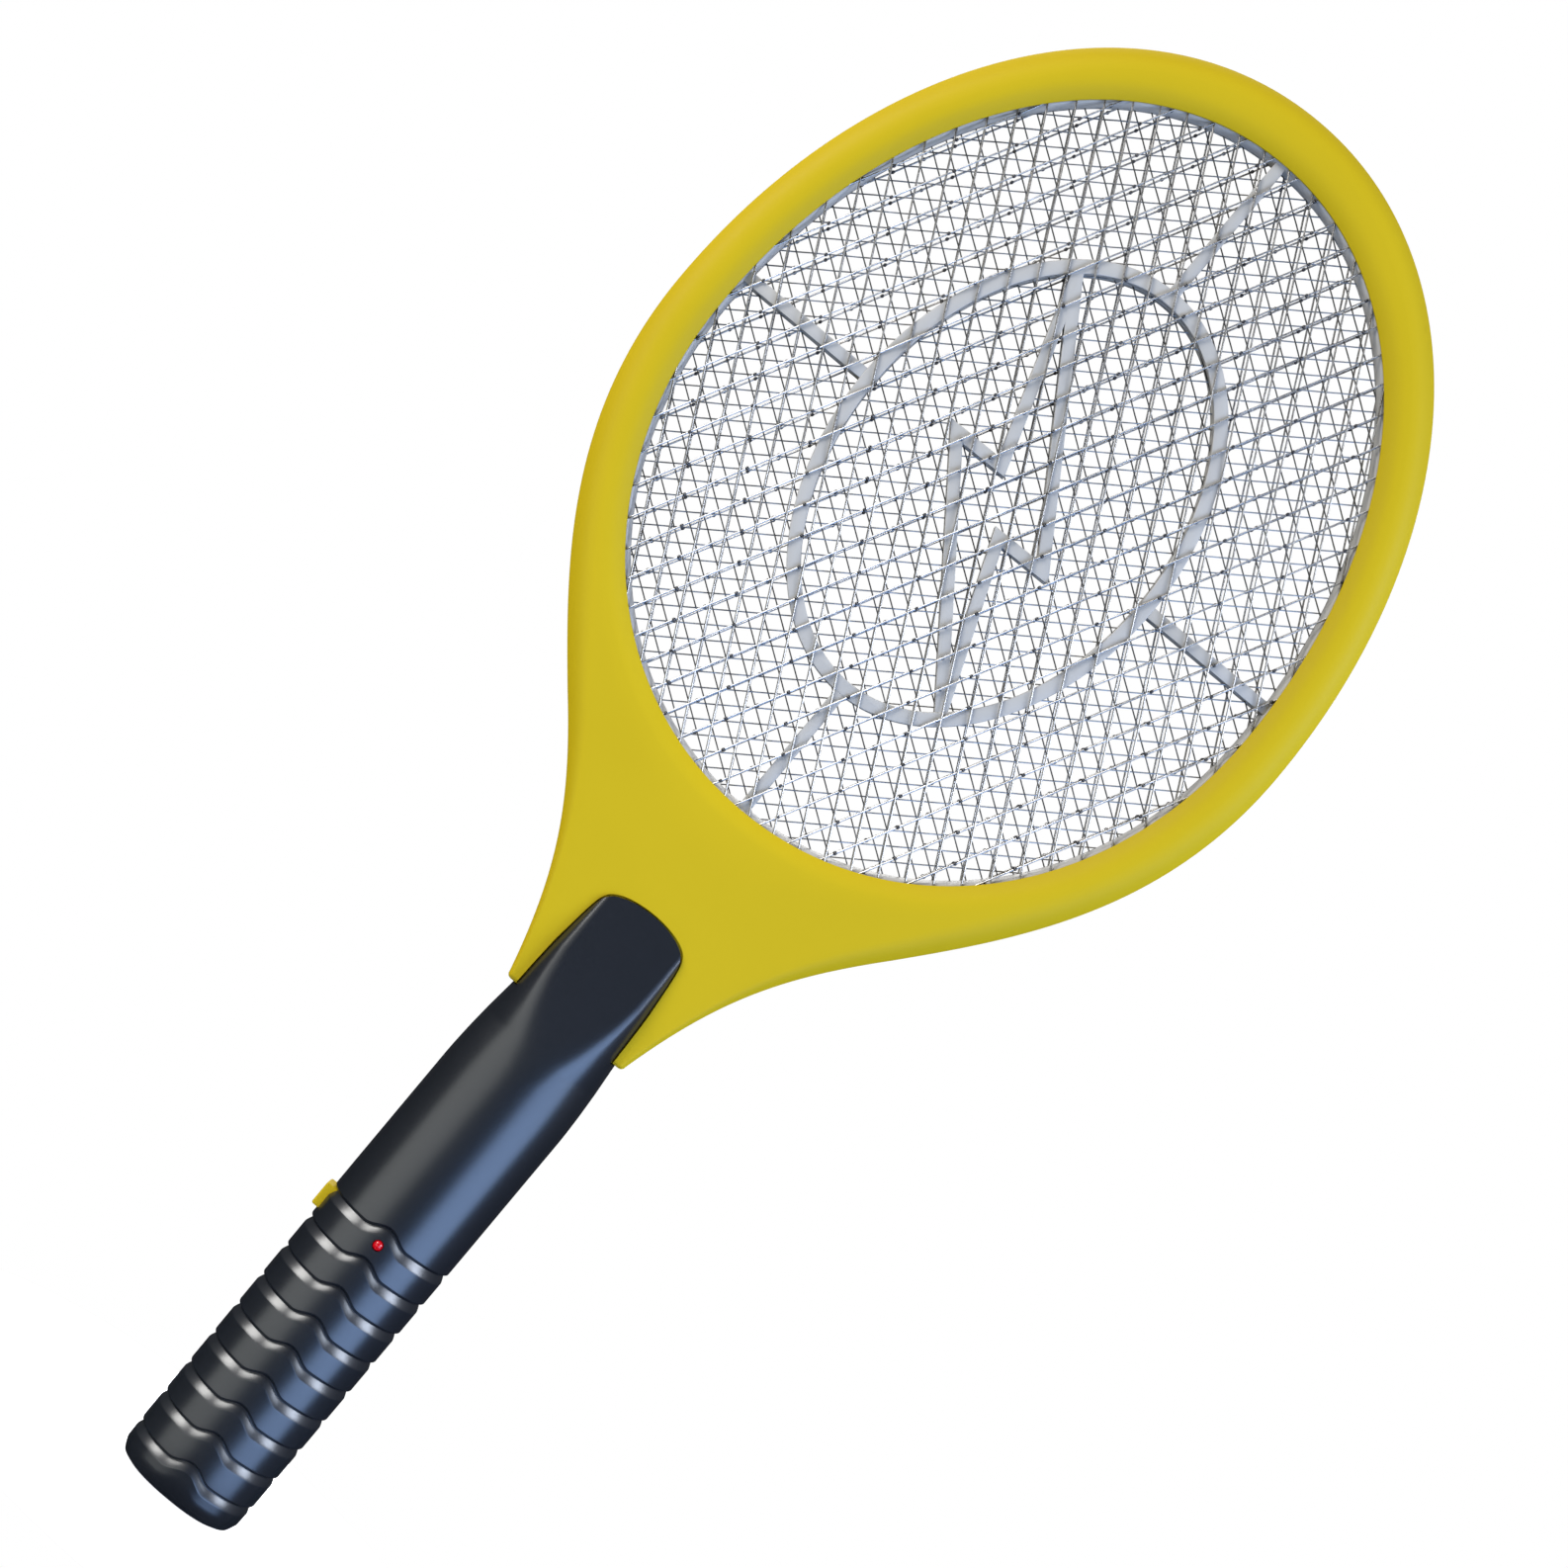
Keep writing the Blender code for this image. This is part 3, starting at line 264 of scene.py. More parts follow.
def tubes(paths, radius, sides, name):
    """Round wires along paths of points, all in one mesh."""
    bm = bmesh.new()
    for path in paths:
        rings = []
        for k, point in enumerate(path):
            before = path[max(k - 1, 0)]
            after = path[min(k + 1, len(path) - 1)]
            along = (after - before).normalized()
            side = along.cross(Vector((0.0, 1.0, 0.0)))
            if side.length < 0.1:
                side = along.cross(Vector((1.0, 0.0, 0.0)))
            side.normalize()
            up = side.cross(along)
            ring = []
            for i in range(sides):
                angle = 2 * math.pi * i / sides
                ring.append(bm.verts.new(point + radius * (math.cos(angle) * side
                                                           + math.sin(angle) * up)))
            rings.append(ring)
        skin(bm, rings)
    return smooth(add_mesh(bm, name), 60.0)


def flat_plate(outlines, front, back, name, rounding=0.0):
    """A flat solid in the XZ plane from closed outlines, with rounded edges."""
    curve = bpy.data.curves.new(name, "CURVE")
    curve.dimensions = "2D"
    curve.fill_mode = "BOTH"
    curve.extrude = (back - front) / 2 - rounding
    curve.bevel_depth = rounding
    curve.offset = -rounding
    curve.bevel_resolution = 2
    for outline in outlines:
        spline = curve.splines.new("POLY")
        spline.points.add(len(outline) - 1)
        for point, (x, z) in zip(spline.points, outline):
            point.co = (x, z, 0.0, 1.0)
        spline.use_cyclic_u = True
    obj = bpy.data.objects.new(name, curve)
    bpy.context.scene.collection.objects.link(obj)
    obj.rotation_euler = (math.radians(90), 0.0, 0.0)
    obj.location = (0.0, (front + back) / 2, 0.0)
    bpy.context.view_layer.update()
    evaluated = obj.evaluated_get(bpy.context.evaluated_depsgraph_get())
    mesh = bpy.data.meshes.new_from_object(evaluated)
    mesh.transform(obj.matrix_world)
    bpy.data.objects.remove(obj, do_unlink=True)
    bpy.data.curves.remove(curve)
    bm = bmesh.new()
    bm.from_mesh(mesh)
    bpy.data.meshes.remove(mesh)
    bmesh.ops.remove_doubles(bm, verts=bm.verts, dist=1e-6)
    return add_mesh(bm, name)


def joined(objects, name):
    """One mesh out of several."""
    bm = bmesh.new()
    for obj in objects:
        bm.from_mesh(obj.data)
        mesh = obj.data
        bpy.data.objects.remove(obj, do_unlink=True)
        bpy.data.meshes.remove(mesh)
    mesh = bpy.data.meshes.new(name)
    bm.to_mesh(mesh)
    bm.free()
    obj = bpy.data.objects.new(name, mesh)
    bpy.context.scene.collection.objects.link(obj)
    return obj


def mirrored(obj, name):
    """A copy behind the middle plane."""
    mesh = obj.data.copy()
    mesh.transform(Matrix.Diagonal((1.0, -1.0, 1.0, 1.0)))
    mesh.flip_normals()
    mesh.name = name
    copy = bpy.data.objects.new(name, mesh)
    bpy.context.scene.collection.objects.link(copy)
    return copy


# ---- outlines ----
def power_arc(half_x, half_z, power, angle):
    c = math.cos(angle)
    s = math.sin(angle)
    return (half_x * math.copysign(abs(c) ** (2 / power), c),
            half_z * math.copysign(abs(s) ** (2 / power), s))


def oval(grow):
    """The opening's outline, grown by grow."""
    points = []
    for i in range(OVAL_SIDES):
        angle = 2 * math.pi * i / OVAL_SIDES
        half_z = (OPEN_ABOVE if angle < math.pi else OPEN_BELOW) + grow
        x, z = power_arc(OPEN_HALF_WIDTH + grow, half_z, OPEN_POWER, angle)
        points.append((x, OPEN_CENTRE + z))
    return points


def ellipse(half_x, half_z, centre_z):
    step = 2 * math.pi / ELLIPSE_SIDES
    return [(half_x * math.cos(step * i), centre_z + half_z * math.sin(step * i))
            for i in range(ELLIPSE_SIDES)]


def bezier(a, b, c, d, count):
    points = []
    for i in range(1, count + 1):
        t = i / count
        u = 1 - t
        points.append(tuple(u ** 3 * p + 3 * u * u * t * q + 3 * u * t * t * r + t ** 3 * s
                            for p, q, r, s in zip(a, b, c, d)))
    return points


def head_outline():
    """Outer outline of head and neck, anticlockwise from the right of the neck's end."""
    flare_z, flare_x = FLARE
    corner = bezier((0.0, NECK_END), (6 * MM, NECK_END), (12 * MM, NECK_END),
                    (NECK_HALF_WIDTH - NECK_CORNER, NECK_END), 10)
    corner += bezier(corner[-1], (NECK_HALF_WIDTH - 0.4 * NECK_CORNER, NECK_END),
                     (NECK_HALF_WIDTH, NECK_END + 0.4 * NECK_CORNER),
                     (NECK_HALF_WIDTH, NECK_END + NECK_CORNER), 4)
    neck = bezier(corner[-1], (26.4 * MM, 186.0 * MM), (flare_x - 18.4 * MM, flare_z - 20.7 * MM),
                  (flare_x, flare_z), 36)
    neck += bezier((flare_x, flare_z), (flare_x + 21.5 * MM, flare_z + 25.0 * MM),
                   (HEAD_HALF_WIDTH, HEAD_WIDEST - 45.0 * MM), (HEAD_HALF_WIDTH, HEAD_WIDEST), 40)
    top = []
    quarter = 70
    for i in range(1, quarter + 1):
        x, z = power_arc(HEAD_HALF_WIDTH, HEAD_TIP - HEAD_WIDEST, HEAD_POWER,
                         math.pi / 2 * i / quarter)
        top.append((x, HEAD_WIDEST + z))
    right = corner + neck + top
    return right + [(-x, z) for x, z in reversed(right[:-1])] + [(0.0, NECK_END)]


def mitred(points, offset):
    """A polygon with every side moved out by offset."""
    corners = []
    count = len(points)
    for i, point in enumerate(points):
        here = Vector(point)
        to_here = (here - Vector(points[i - 1])).normalized()
        onward = (Vector(points[(i + 1) % count]) - here).normalized()
        normal_in = Vector((to_here.y, -to_here.x))
        normal_out = Vector((onward.y, -onward.x))
        middle = (normal_in + normal_out).normalized()
        corners.append(tuple(here + middle * offset / middle.dot(normal_out)))
    return corners


# ---- head ----
def inward_normals(points):
    normals = []
    count = len(points)
    for i in range(count):
        before = points[i - 1]
        after = points[(i + 1) % count]
        chord = (Vector(after) - Vector(before)).normalized()
        normals.append(Vector((-chord.y, chord.x)))
    return normals


def opening_point(direction, grow):
    """Where a ray from the opening's centre meets its outline, grown by grow."""
    half_z = (OPEN_ABOVE if direction.y > 0 else OPEN_BELOW) + grow
    size = ((abs(direction.x) / (OPEN_HALF_WIDTH + grow)) ** OPEN_POWER
            + (abs(direction.y) / half_z) ** OPEN_POWER) ** (1 / OPEN_POWER)
    return Vector((0.0, OPEN_CENTRE)) + direction / size


def ease(value):
    value = max(0.0, min(1.0, value))
    return value * value * (3 - 2 * value)


def crown(distance, reach, drop):
    """Height of the rim's surface at a distance from its edge."""
    scale = (reach / CROWN) ** 0.7
    return FACE - drop * scale * (1 - min(distance / reach, 1.0)) ** CROWN_POWER


def front_frame_mesh():
    """The front half of head and neck: a crowned rim, its lip, and the pocket behind it."""
    outer = head_outline()
    normals = inward_normals(outer)
    centre = Vector((0.0, OPEN_CENTRE))
    fade_from, fade_length = NECK_FADE
    bm = bmesh.new()
    rings = []

    def ring(places):
        rings.append([bm.verts.new((p.x, -y, p.y)) for p, y in places])

    stations = []
    for point, normal in zip(outer, normals):
        place = Vector(point)
        # the crown narrows to a plain rounded edge down the neck
        reach = NECK_ROUND + (CROWN - NECK_ROUND) * ease((place.y - fade_from) / fade_length)
        direction = (place - centre).normalized()
        width = (place - opening_point(direction, 0.0)).length
        reach = min(reach, (width - CREST) / 2)
        inset = place + normal * reach
        direction = (inset - centre).normalized()
        inner = opening_point(direction, 0.0)
        away = (opening_point(direction, 1 * MM) - inner).normalized()
        lip = min(CROWN, (inset - inner).length - CREST)
        stations.append((place, normal, inner, away, reach, lip))
    # side wall, from the middle plane outwards
    ring([(place + normal * SEAM_LIP, SEAM / 2) for place, normal, _, _, _, _ in stations])
    ring([(place + normal * SEAM_LIP, GAP / 2) for place, normal, _, _, _, _ in stations])
    ring([(place, GAP / 2) for place, _, _, _, _, _ in stations])
    ring([(place, crown(0.0, reach, CROWN_DROP) - SIDE_EASE) for place, _, _, _, reach, _ in stations])
    for step in CROWN_STEPS:
        ring([(place + normal * reach * step, crown(reach * step, reach, CROWN_DROP))
              for place, normal, _, _, reach, _ in stations])
    for k in range(1, FLAT_STEPS):
        part = k / FLAT_STEPS
        ring([((place + normal * reach) * (1 - part) + (inner + away * lip) * part, FACE)
              for place, normal, inner, away, reach, lip in stations])
    for step in reversed(CROWN_STEPS[:-1]):
        ring([(inner + away * lip * step, crown(lip * step, lip, LIP_DROP))
              for _, _, inner, away, _, lip in stations])
    ring([(inner, POCKET + CHAMFER) for _, _, inner, _, _, _ in stations])
    ring([(inner + away * CHAMFER, POCKET) for _, _, inner, away, _, _ in stations])
    ring([(inner + away * (SEAT + GAP), POCKET) for _, _, inner, away, _, _ in stations])
    ring([(inner + away * (SEAT + GAP), SEAM / 2) for _, _, inner, away, _, _ in stations])
    skin(bm, rings, closed=True)
    return add_mesh(bm, "front_frame_skin")


def rim_place(degrees, out):
    angle = math.radians(degrees)
    half_z = (OPEN_ABOVE if math.sin(angle) > 0 else OPEN_BELOW) + out
    x, z = power_arc(OPEN_HALF_WIDTH + out, half_z, OPEN_POWER, angle)
    return x, OPEN_CENTRE + z


def frame_screw_places():
    return [rim_place(degrees, RIM_SCREW_OUT) for degrees in RIM_SCREWS] + list(NECK_SCREWS)


def counterbores(places, name):
    """Recesses for screw heads, all in one cutter."""
    cutters = []
    for x, z, top in places:
        seat = top - SCREW_HEAD[1] - GAP
        radius = SCREW_HEAD[0] + GAP
        profile = [(seat, radius), (0.03, radius)]
        cutters.append(turned(profile, (x, 0.0, z), (0.0, 1.0, 0.0), 32, "counterbore"))
    return joined(cutters, name)


def tongue_gap():
    """A cutter a little wider than the tongue, which leaves a thin dark gap round it."""
    sides = []
    plan = [point for point in tongue_plan() if point[0] >= 0 and point[1] > GAP_LEVEL]
    tip_from, tip_length = GAP_TIP
    level = NECK_END - 2 * MM
    while level < plan[0][1]:
        sides.append((tongue_foot(level) + SHADOW_GAP, level))
        level += 1.5 * MM
    for x, z in plan:
        x = min(x, tongue_foot(z))
        rise = ease((z - tip_from) / tip_length) * SHADOW_GAP
        sides.append((x + SHADOW_GAP * min(1.0, x / GAP_CLOSE), z + rise))
    outline = sides + [(-x, z) for x, z in reversed(sides)]
    return flat_plate([outline], -FACE - 1 * MM, -FACE + GAP_DEPTH, "tongue_gap")


def make_frames(yellow):
    front = front_frame_mesh()
    solve(front, tongue_gap(), "DIFFERENCE", "MANIFOLD")
    rear = mirrored(front, "rear_frame_skin")
    solve(rear, counterbores([(x, z, SCREW_TOP) for x, z in frame_screw_places()], "bores"),
          "DIFFERENCE")
    for obj, node in ((front, "front_frame"), (rear, "rear_frame")):
        smooth(obj, 40.0)
        finish(obj, yellow, "racket", "yellow_plastic", node)


# ---- nets ----
def inside_seat(x, z, grow):
    half_z = (OPEN_ABOVE if z > OPEN_CENTRE else OPEN_BELOW) + grow
    return ((abs(x) / (OPEN_HALF_WIDTH + grow)) ** OPEN_POWER
            + (abs(z - OPEN_CENTRE) / half_z) ** OPEN_POWER) < 1.0


def net_paths(angle, step, grow, weave, y, points_per_cell):
    """Wires of a woven net, as paths, and the places where they cross."""
    turn = math.radians(angle)
    families = (Vector((math.sin(turn), math.cos(turn))), Vector((-math.sin(turn), math.cos(turn))))
    cell = step / math.sin(2 * turn)
    paths = []
    crossings = []
    for side, along in enumerate(families):
        across = Vector((along.y, -along.x))
        for k in range(-MAX_WIRES, MAX_WIRES + 1):
            line = []
            for m in range(-MAX_CELLS * points_per_cell, MAX_CELLS * points_per_cell + 1):
                place = across * (k * step) + along * (m * cell / points_per_cell)
                # both families cross where a lattice of the two steps has its points
                shift = k * step / math.tan(2 * turn) * (1 if side == 0 else -1)
                place += along * shift
                x = place.x
                z = OPEN_CENTRE + place.y
                if inside_seat(x, z, grow):
                    phase = math.pi * (m / points_per_cell + k + side)
                    line.append(Vector((x, y + weave * math.cos(phase), z)))
                    if side == 0 and m % points_per_cell == 0:
                        crossings.append(Vector((x, y, z)))
                elif line:
                    break
            if len(line) > 2:
                paths.append(line)
    return paths, crossings


def knots(places, size, name):
    """Small crimped lumps where the wires of a net cross."""
    bm = bmesh.new()
    for place in places:
        matrix = Matrix.Translation(place) @ Matrix.Diagonal((size[0], size[1], size[2], 1.0))
        bmesh.ops.create_icosphere(bm, subdivisions=1, radius=1.0, matrix=matrix)
    return smooth(add_mesh(bm, name), 80.0)


def make_nets(coarse, fine, knot):
    for node, y in (("front_grid", -GRID_MID), ("rear_grid", GRID_MID)):
        paths, crossings = net_paths(COARSE_ANGLE, COARSE_STEP, SEAT - GAP, COARSE_WEAVE, y, 2)
        wires = tubes(paths, COARSE_RADIUS, 6, node + "_wires")
        finish(wires, coarse, "racket", "net_steel", node)
        lumps = knots(crossings, KNOT_SIZE, node + "_knots")
        finish(lumps, knot, "racket", "net_steel")
    paths, _ = net_paths(FINE_ANGLE, FINE_STEP, SEAT - GAP, FINE_WEAVE, 0.0, 2)
    wires = tubes(paths, FINE_RADIUS, 5, "middle_mesh_wires")
    finish(wires, fine, "racket", "net_steel", "middle_mesh")


def spacer_rim(low, high):
    """The spacer's rim, whose inner face slopes out from under the lip."""
    bm = bmesh.new()
    rings = []
    for grow, y in ((SEAT, high), (SEAT, low), (-0.1 * MM, low), (-0.35 * MM, low + 0.2 * MM),
                    (-RIM_SHOWS, high - 0.3 * MM), (-RIM_SHOWS, high)):
        rings.append([bm.verts.new((x, y, z)) for x, z in oval(grow)])
    skin(bm, rings, closed=True)
    return add_mesh(bm, "rim")


def make_spacers(grey):
    """Grey frame between two nets: a rim, four spokes, an inner ring and a bolt sign."""
    low = -SPACER_OUT
    high = -SPACER_IN
    parts = [spacer_rim(low, high),
             flat_plate([ellipse(RING_WIDTH, RING_HEIGHT, RING_CENTRE),
                         ellipse(RING_WIDTH - RING_BAND, RING_HEIGHT - RING_BAND, RING_CENTRE)],
                        low, high, "ring", SPACER_EDGE)]
    bar_low = low + BAR_STEP
    bar_high = high - BAR_STEP
    corners = [(x * MM, RING_CENTRE + z * MM) for x, z in reversed(BOLT)]
    bolt = flat_plate([mitred(corners, BOLT_BAR / 2), mitred(corners, -BOLT_BAR / 2)],
                      bar_low, bar_high, "bolt_sign", SPACER_EDGE)
    limit = flat_plate([ellipse(RING_WIDTH - 1 * MM, RING_HEIGHT - 1 * MM, RING_CENTRE)],
                       -0.01, 0.01, "limit")
    parts.append(solve(bolt, limit, "INTERSECT", "MANIFOLD"))
    half = SPOKE / 2
    spans = []
    for sign in (1, -1):
        spans.append(((sign * (RING_WIDTH - BAR_REACH), RING_CENTRE - half),
                      (sign * (OPEN_HALF_WIDTH + BAR_REACH), RING_CENTRE + half)))
    top = OPEN_CENTRE + OPEN_ABOVE + BAR_REACH
    bottom = OPEN_CENTRE - OPEN_BELOW - BAR_REACH
    spans.append(((-half, RING_CENTRE + RING_HEIGHT - BAR_REACH), (half, top)))
    spans.append(((-half, bottom), (half, RING_CENTRE - RING_HEIGHT + BAR_REACH)))
    for (x1, z1), (x2, z2) in spans:
        parts.append(box((min(x1, x2), bar_low, min(z1, z2)),
                         (max(x1, x2), bar_high, max(z1, z2)), "spoke", SPACER_EDGE, 2))
    front = joined(parts, "front_spacer_frame")
    rear = mirrored(front, "rear_spacer_frame")
    for obj, node in ((front, "front_spacer"), (rear, "rear_spacer")):
        smooth(obj, 40.0)
        finish(obj, grey, "racket", "grey_plastic", node)


# ---- handle ----
def handle_section(height):
    """Half width and half depth at a height, between the tabled sections."""
    rows = [(z * MM, x * MM, y * MM) for z, x, y in HANDLE]
    for low, high in zip(rows, rows[1:]):
        if height <= high[0]:
            part = (height - low[0]) / (high[0] - low[0])
            return low[1] + (high[1] - low[1]) * part, low[2] + (high[2] - low[2]) * part
    return rows[-1][1:]


def handle_power(height):
    """Squareness of the handle's section at a height."""
    low, high = SQUARER
    part = max(0.0, min(1.0, (height - low) / (high - low)))
    return GRIP_POWER + (TONGUE_POWER - GRIP_POWER) * part


def soft_least(a, b, reach):
    """The lesser of two depths, with the edge between them rounded."""
    part = max(0.0, min(1.0, 0.5 + 0.5 * (b - a) / reach))
    return b + (a - b) * part - reach * part * (1 - part)


def tongue_foot(height):
    """Half width of the tongue where it meets the face of the neck."""
    half_x, half_y = handle_section(height)
    power = handle_power(height)
    return half_x * (1 - (FACE / half_y) ** power) ** (1 / power)


def facet_depth(height):
    """Depth of the sloping flat at the front of the tongue."""
    (z1, y1), (z2, y2) = FACET_START, FACET_END
    return y1 + (y2 - y1) * (height - z1) / (z2 - z1)


def wave(x):
    """Rise of the grooves at a place across the handle, as a share of its most."""
    if abs(x) >= WAVE_REACH:
        return 0.0
    return 0.5 + 0.5 * math.cos(math.pi * x / WAVE_REACH)


def groove_profile(level):
    """Depth of the grip's surface at a level along it, steep on the head side of each groove."""
    depth = 0.0
    for k in range(GROOVES):
        rise = level - (GROOVE_TOP - k * GROOVE_STEP)
        if FLANK_START < rise < WALL_END:
            if rise < GROOVE_BED:
                part = (rise - FLANK_START) / (GROOVE_BED - FLANK_START)
                depth = GROOVE_DEPTH * part ** FLANK_POWER
            else:
                depth = GROOVE_DEPTH * ease((WALL_END - rise) / (WALL_END - GROOVE_BED))
    return depth


def groove_levels():
    """Levels along the grip, closer together in the grooves."""
    levels = [0.0, 0.25 * MM, 0.8 * MM, 1.6 * MM]
    for k in reversed(range(GROOVES)):
        base = GROOVE_TOP - k * GROOVE_STEP
        if base - 5 * MM > levels[-1]:
            levels.append(base - 5 * MM)
        levels += [base + rise * MM for rise in GROOVE_RINGS]
    level = levels[-1] + 2 * MM
    while level < 193 * MM:
        levels.append(level)
        level += 3 * MM if level < TONGUE_LEVEL else 0.8 * MM
    return levels + [194 * MM]


def handle_solid(name):
    """The handle's outside, with its grooves and the flat on its tongue."""
    bm = bmesh.new()
    rings = []
    for level in groove_levels():
        ring = []
        half_x, half_y = handle_section(level)
        depth = groove_profile(level)
        for i in range(HANDLE_SIDES):
            angle = 2 * math.pi * (i + 0.5) / HANDLE_SIDES
            x, y = power_arc(half_x - depth, half_y - depth, handle_power(level), angle)
            if y < 0 and level > FACET_START[0] - 6 * MM:
                y = -soft_least(-y, facet_depth(level), FACET_ROUND)
            rise = 0.0
            if level < GROOVE_TOP + 4 * MM:
                rise = GROOVE_WAVE * wave(x) * min(1.0, level / (5 * MM))
            ring.append(bm.verts.new((x, y, level + rise)))
        rings.append(ring)
    skin(bm, rings)
    return add_mesh(bm, name)


def handle_core(name, inset):
    """A plain solid that lies inset within the handle."""
    bm = bmesh.new()
    rings = []
    for level in (inset, 6 * MM, 60 * MM, 100 * MM, 136 * MM, NECK_END - 2.5 * MM):
        ring = []
        half_x, half_y = handle_section(max(level, 3 * MM))
        for i in range(HOLLOW_SIDES):
            angle = 2 * math.pi * (i + 0.5) / HOLLOW_SIDES
            x, y = power_arc(half_x - inset, half_y - inset, handle_power(level), angle)
            ring.append(bm.verts.new((x, y, level)))
        rings.append(ring)
    skin(bm, rings)
    return add_mesh(bm, name)


def tongue_plan():
    """Outline of the handle as seen from the front, which gives the tongue its round end."""
    right = [(25 * MM, -5 * MM), (25 * MM, 156 * MM), (16.4 * MM, 172 * MM), (13.95 * MM, 181 * MM)]
    right += bezier(right[-1], (13.3 * MM, 186.0 * MM), (12.9 * MM, 188.2 * MM),
                    (9.6 * MM, 189.7 * MM), 18)
    right += bezier(right[-1], (7.0 * MM, 190.9 * MM), (3.5 * MM, TONGUE_TIP), (0.0, TONGUE_TIP), 12)
    return right + [(-x, z) for x, z in reversed(right[:-1])]


def cylinder_cutter(start, end, radius, name):
    """A round bar between two places."""
    start = Vector(start)
    end = Vector(end)
    return turned([(0.0, radius), ((end - start).length, radius)], start, end - start, 40, name)


def make_handle(dark):
    front = handle_solid("handle_front_shell")
    solve(front, flat_plate([tongue_plan()], -0.03, 0.03, "plan"), "INTERSECT", "MANIFOLD")
    rear_half = box((-0.05, -SEAM / 2, -0.01), (0.05, 0.05, 0.22), "rear_half")
    solve(front, rear_half, "DIFFERENCE", "MANIFOLD")
    seam = box((-0.05, -GAP / 2, -0.01), (0.05, 0.05, 0.22), "seam")
    solve(seam, handle_core("core", SEAM_LIP), "DIFFERENCE", "MANIFOLD")
    solve(front, seam, "DIFFERENCE", "MANIFOLD")
    solve(front, handle_core("hollow", HANDLE_WALL), "DIFFERENCE", "MANIFOLD")
    solve(front, box((-0.04, -FACE - 0.1 * MM, NECK_END - GAP), (0.04, 0.05, 0.21), "neck_gap"),
          "DIFFERENCE", "MANIFOLD")
    rear = mirrored(front, "handle_rear_shell")
    cover = mirrored(front, "battery_cover_skin")

    low, high = BAY
    inner = BAY_HALF_WIDTH - GAP
    cover_block = box((-inner, BAY_DEPTH, low + GAP), (inner, 0.03, high - GAP), "cover_block", BAY_EDGE)
    solve(cover, cover_block, "INTERSECT", "MANIFOLD")
    bay_block = box((-BAY_HALF_WIDTH, BAY_DEPTH, low), (BAY_HALF_WIDTH, 0.03, high),
                    "bay_block", BAY_EDGE)
    solve(rear, bay_block, "DIFFERENCE", "MANIFOLD")
    places = [(x, z, SCREW_TOP) for x, z in HANDLE_SCREWS] + [(*TONGUE_SCREW, TONGUE_SCREW_TOP)]
    solve(rear, counterbores(places, "bores"), "DIFFERENCE", "MANIFOLD")
    lamp_hole = cylinder_cutter((0, -0.02, LED_Z), (0, -0.01, LED_Z), LED_RADIUS + 0.02 * MM, "bore")
    solve(front, lamp_hole, "DIFFERENCE", "MANIFOLD")
    half_y, half_z = BUTTON_HALF
    for shell in (front, rear):
        window = box((-25 * MM, -half_y - GAP, BUTTON_Z - half_z - GAP),
                     (-14 * MM, half_y + GAP, BUTTON_Z + half_z + GAP), "window", BUTTON_EDGE)
        solve(shell, window, "DIFFERENCE", "MANIFOLD")
    for obj, node, body in ((front, "handle_front", "racket"), (rear, "handle_rear", "racket"),
                            (cover, "battery_cover", "cover")):
        smooth(obj, 38.0)
        finish(obj, dark, body, "dark_plastic", node)


# ---- small visible pieces ----
def make_button(yellow):
    half_y, half_z = BUTTON_HALF
    cap = box((BUTTON_FACE, -half_y, BUTTON_Z - half_z), (BUTTON_ROOT, half_y, BUTTON_Z + half_z),
              "cap", BUTTON_EDGE, 4)
    wide_y = half_y + FLANGE_WIDER[0]
    wide_z = half_z + FLANGE_WIDER[1]
    flange = box((FLANGE[0], -wide_y, BUTTON_Z - wide_z), (FLANGE[1], wide_y, BUTTON_Z + wide_z),
                 "flange", 0.15 * MM, 2)
    stem = turned([(0, 1.2 * MM), (2.6 * MM, 1.2 * MM)], (-15.2 * MM, 0, BUTTON_Z), (1, 0, 0),
                  24, "stem")
    button = joined([cap, flange, stem], "button_cap")
    smooth(button, 40.0)
    finish(button, yellow, "button", "yellow_plastic", "power_button")


def make_led(red):
    profile = []
    for i in range(LED_STEPS):
        angle = math.pi / 2 * i / LED_STEPS
        profile.append((LED_TIP + LED_RADIUS * (1 - math.cos(angle)),
                        max(LED_RADIUS * math.sin(angle), 0.02 * MM)))
    profile += [(LED_TIP + LED_RADIUS, LED_RADIUS), (-11.7 * MM, LED_RADIUS), (-11.6 * MM, 1.8 * MM),
                (-11.5 * MM, 1.9 * MM), (-10.8 * MM, 1.9 * MM)]
    lens = turned(profile, (0, 0, LED_Z), (0, 1, 0), 40, "lamp_lens")
    smooth(lens, 50.0)
    finish(lens, red, "racket", "red_lens")
    legs = joined([box((x - LED_LEG, -10.9 * MM, LED_Z - LED_LEG),
                       (x + LED_LEG, 2.9 * MM, LED_Z + LED_LEG), "leg", 0.05 * MM, 2)
                   for x in (-0.9 * MM, 0.9 * MM)], "lamp_legs")
    finish(legs, MATERIALS["steel"], "racket", "contact_steel")
    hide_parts("led")


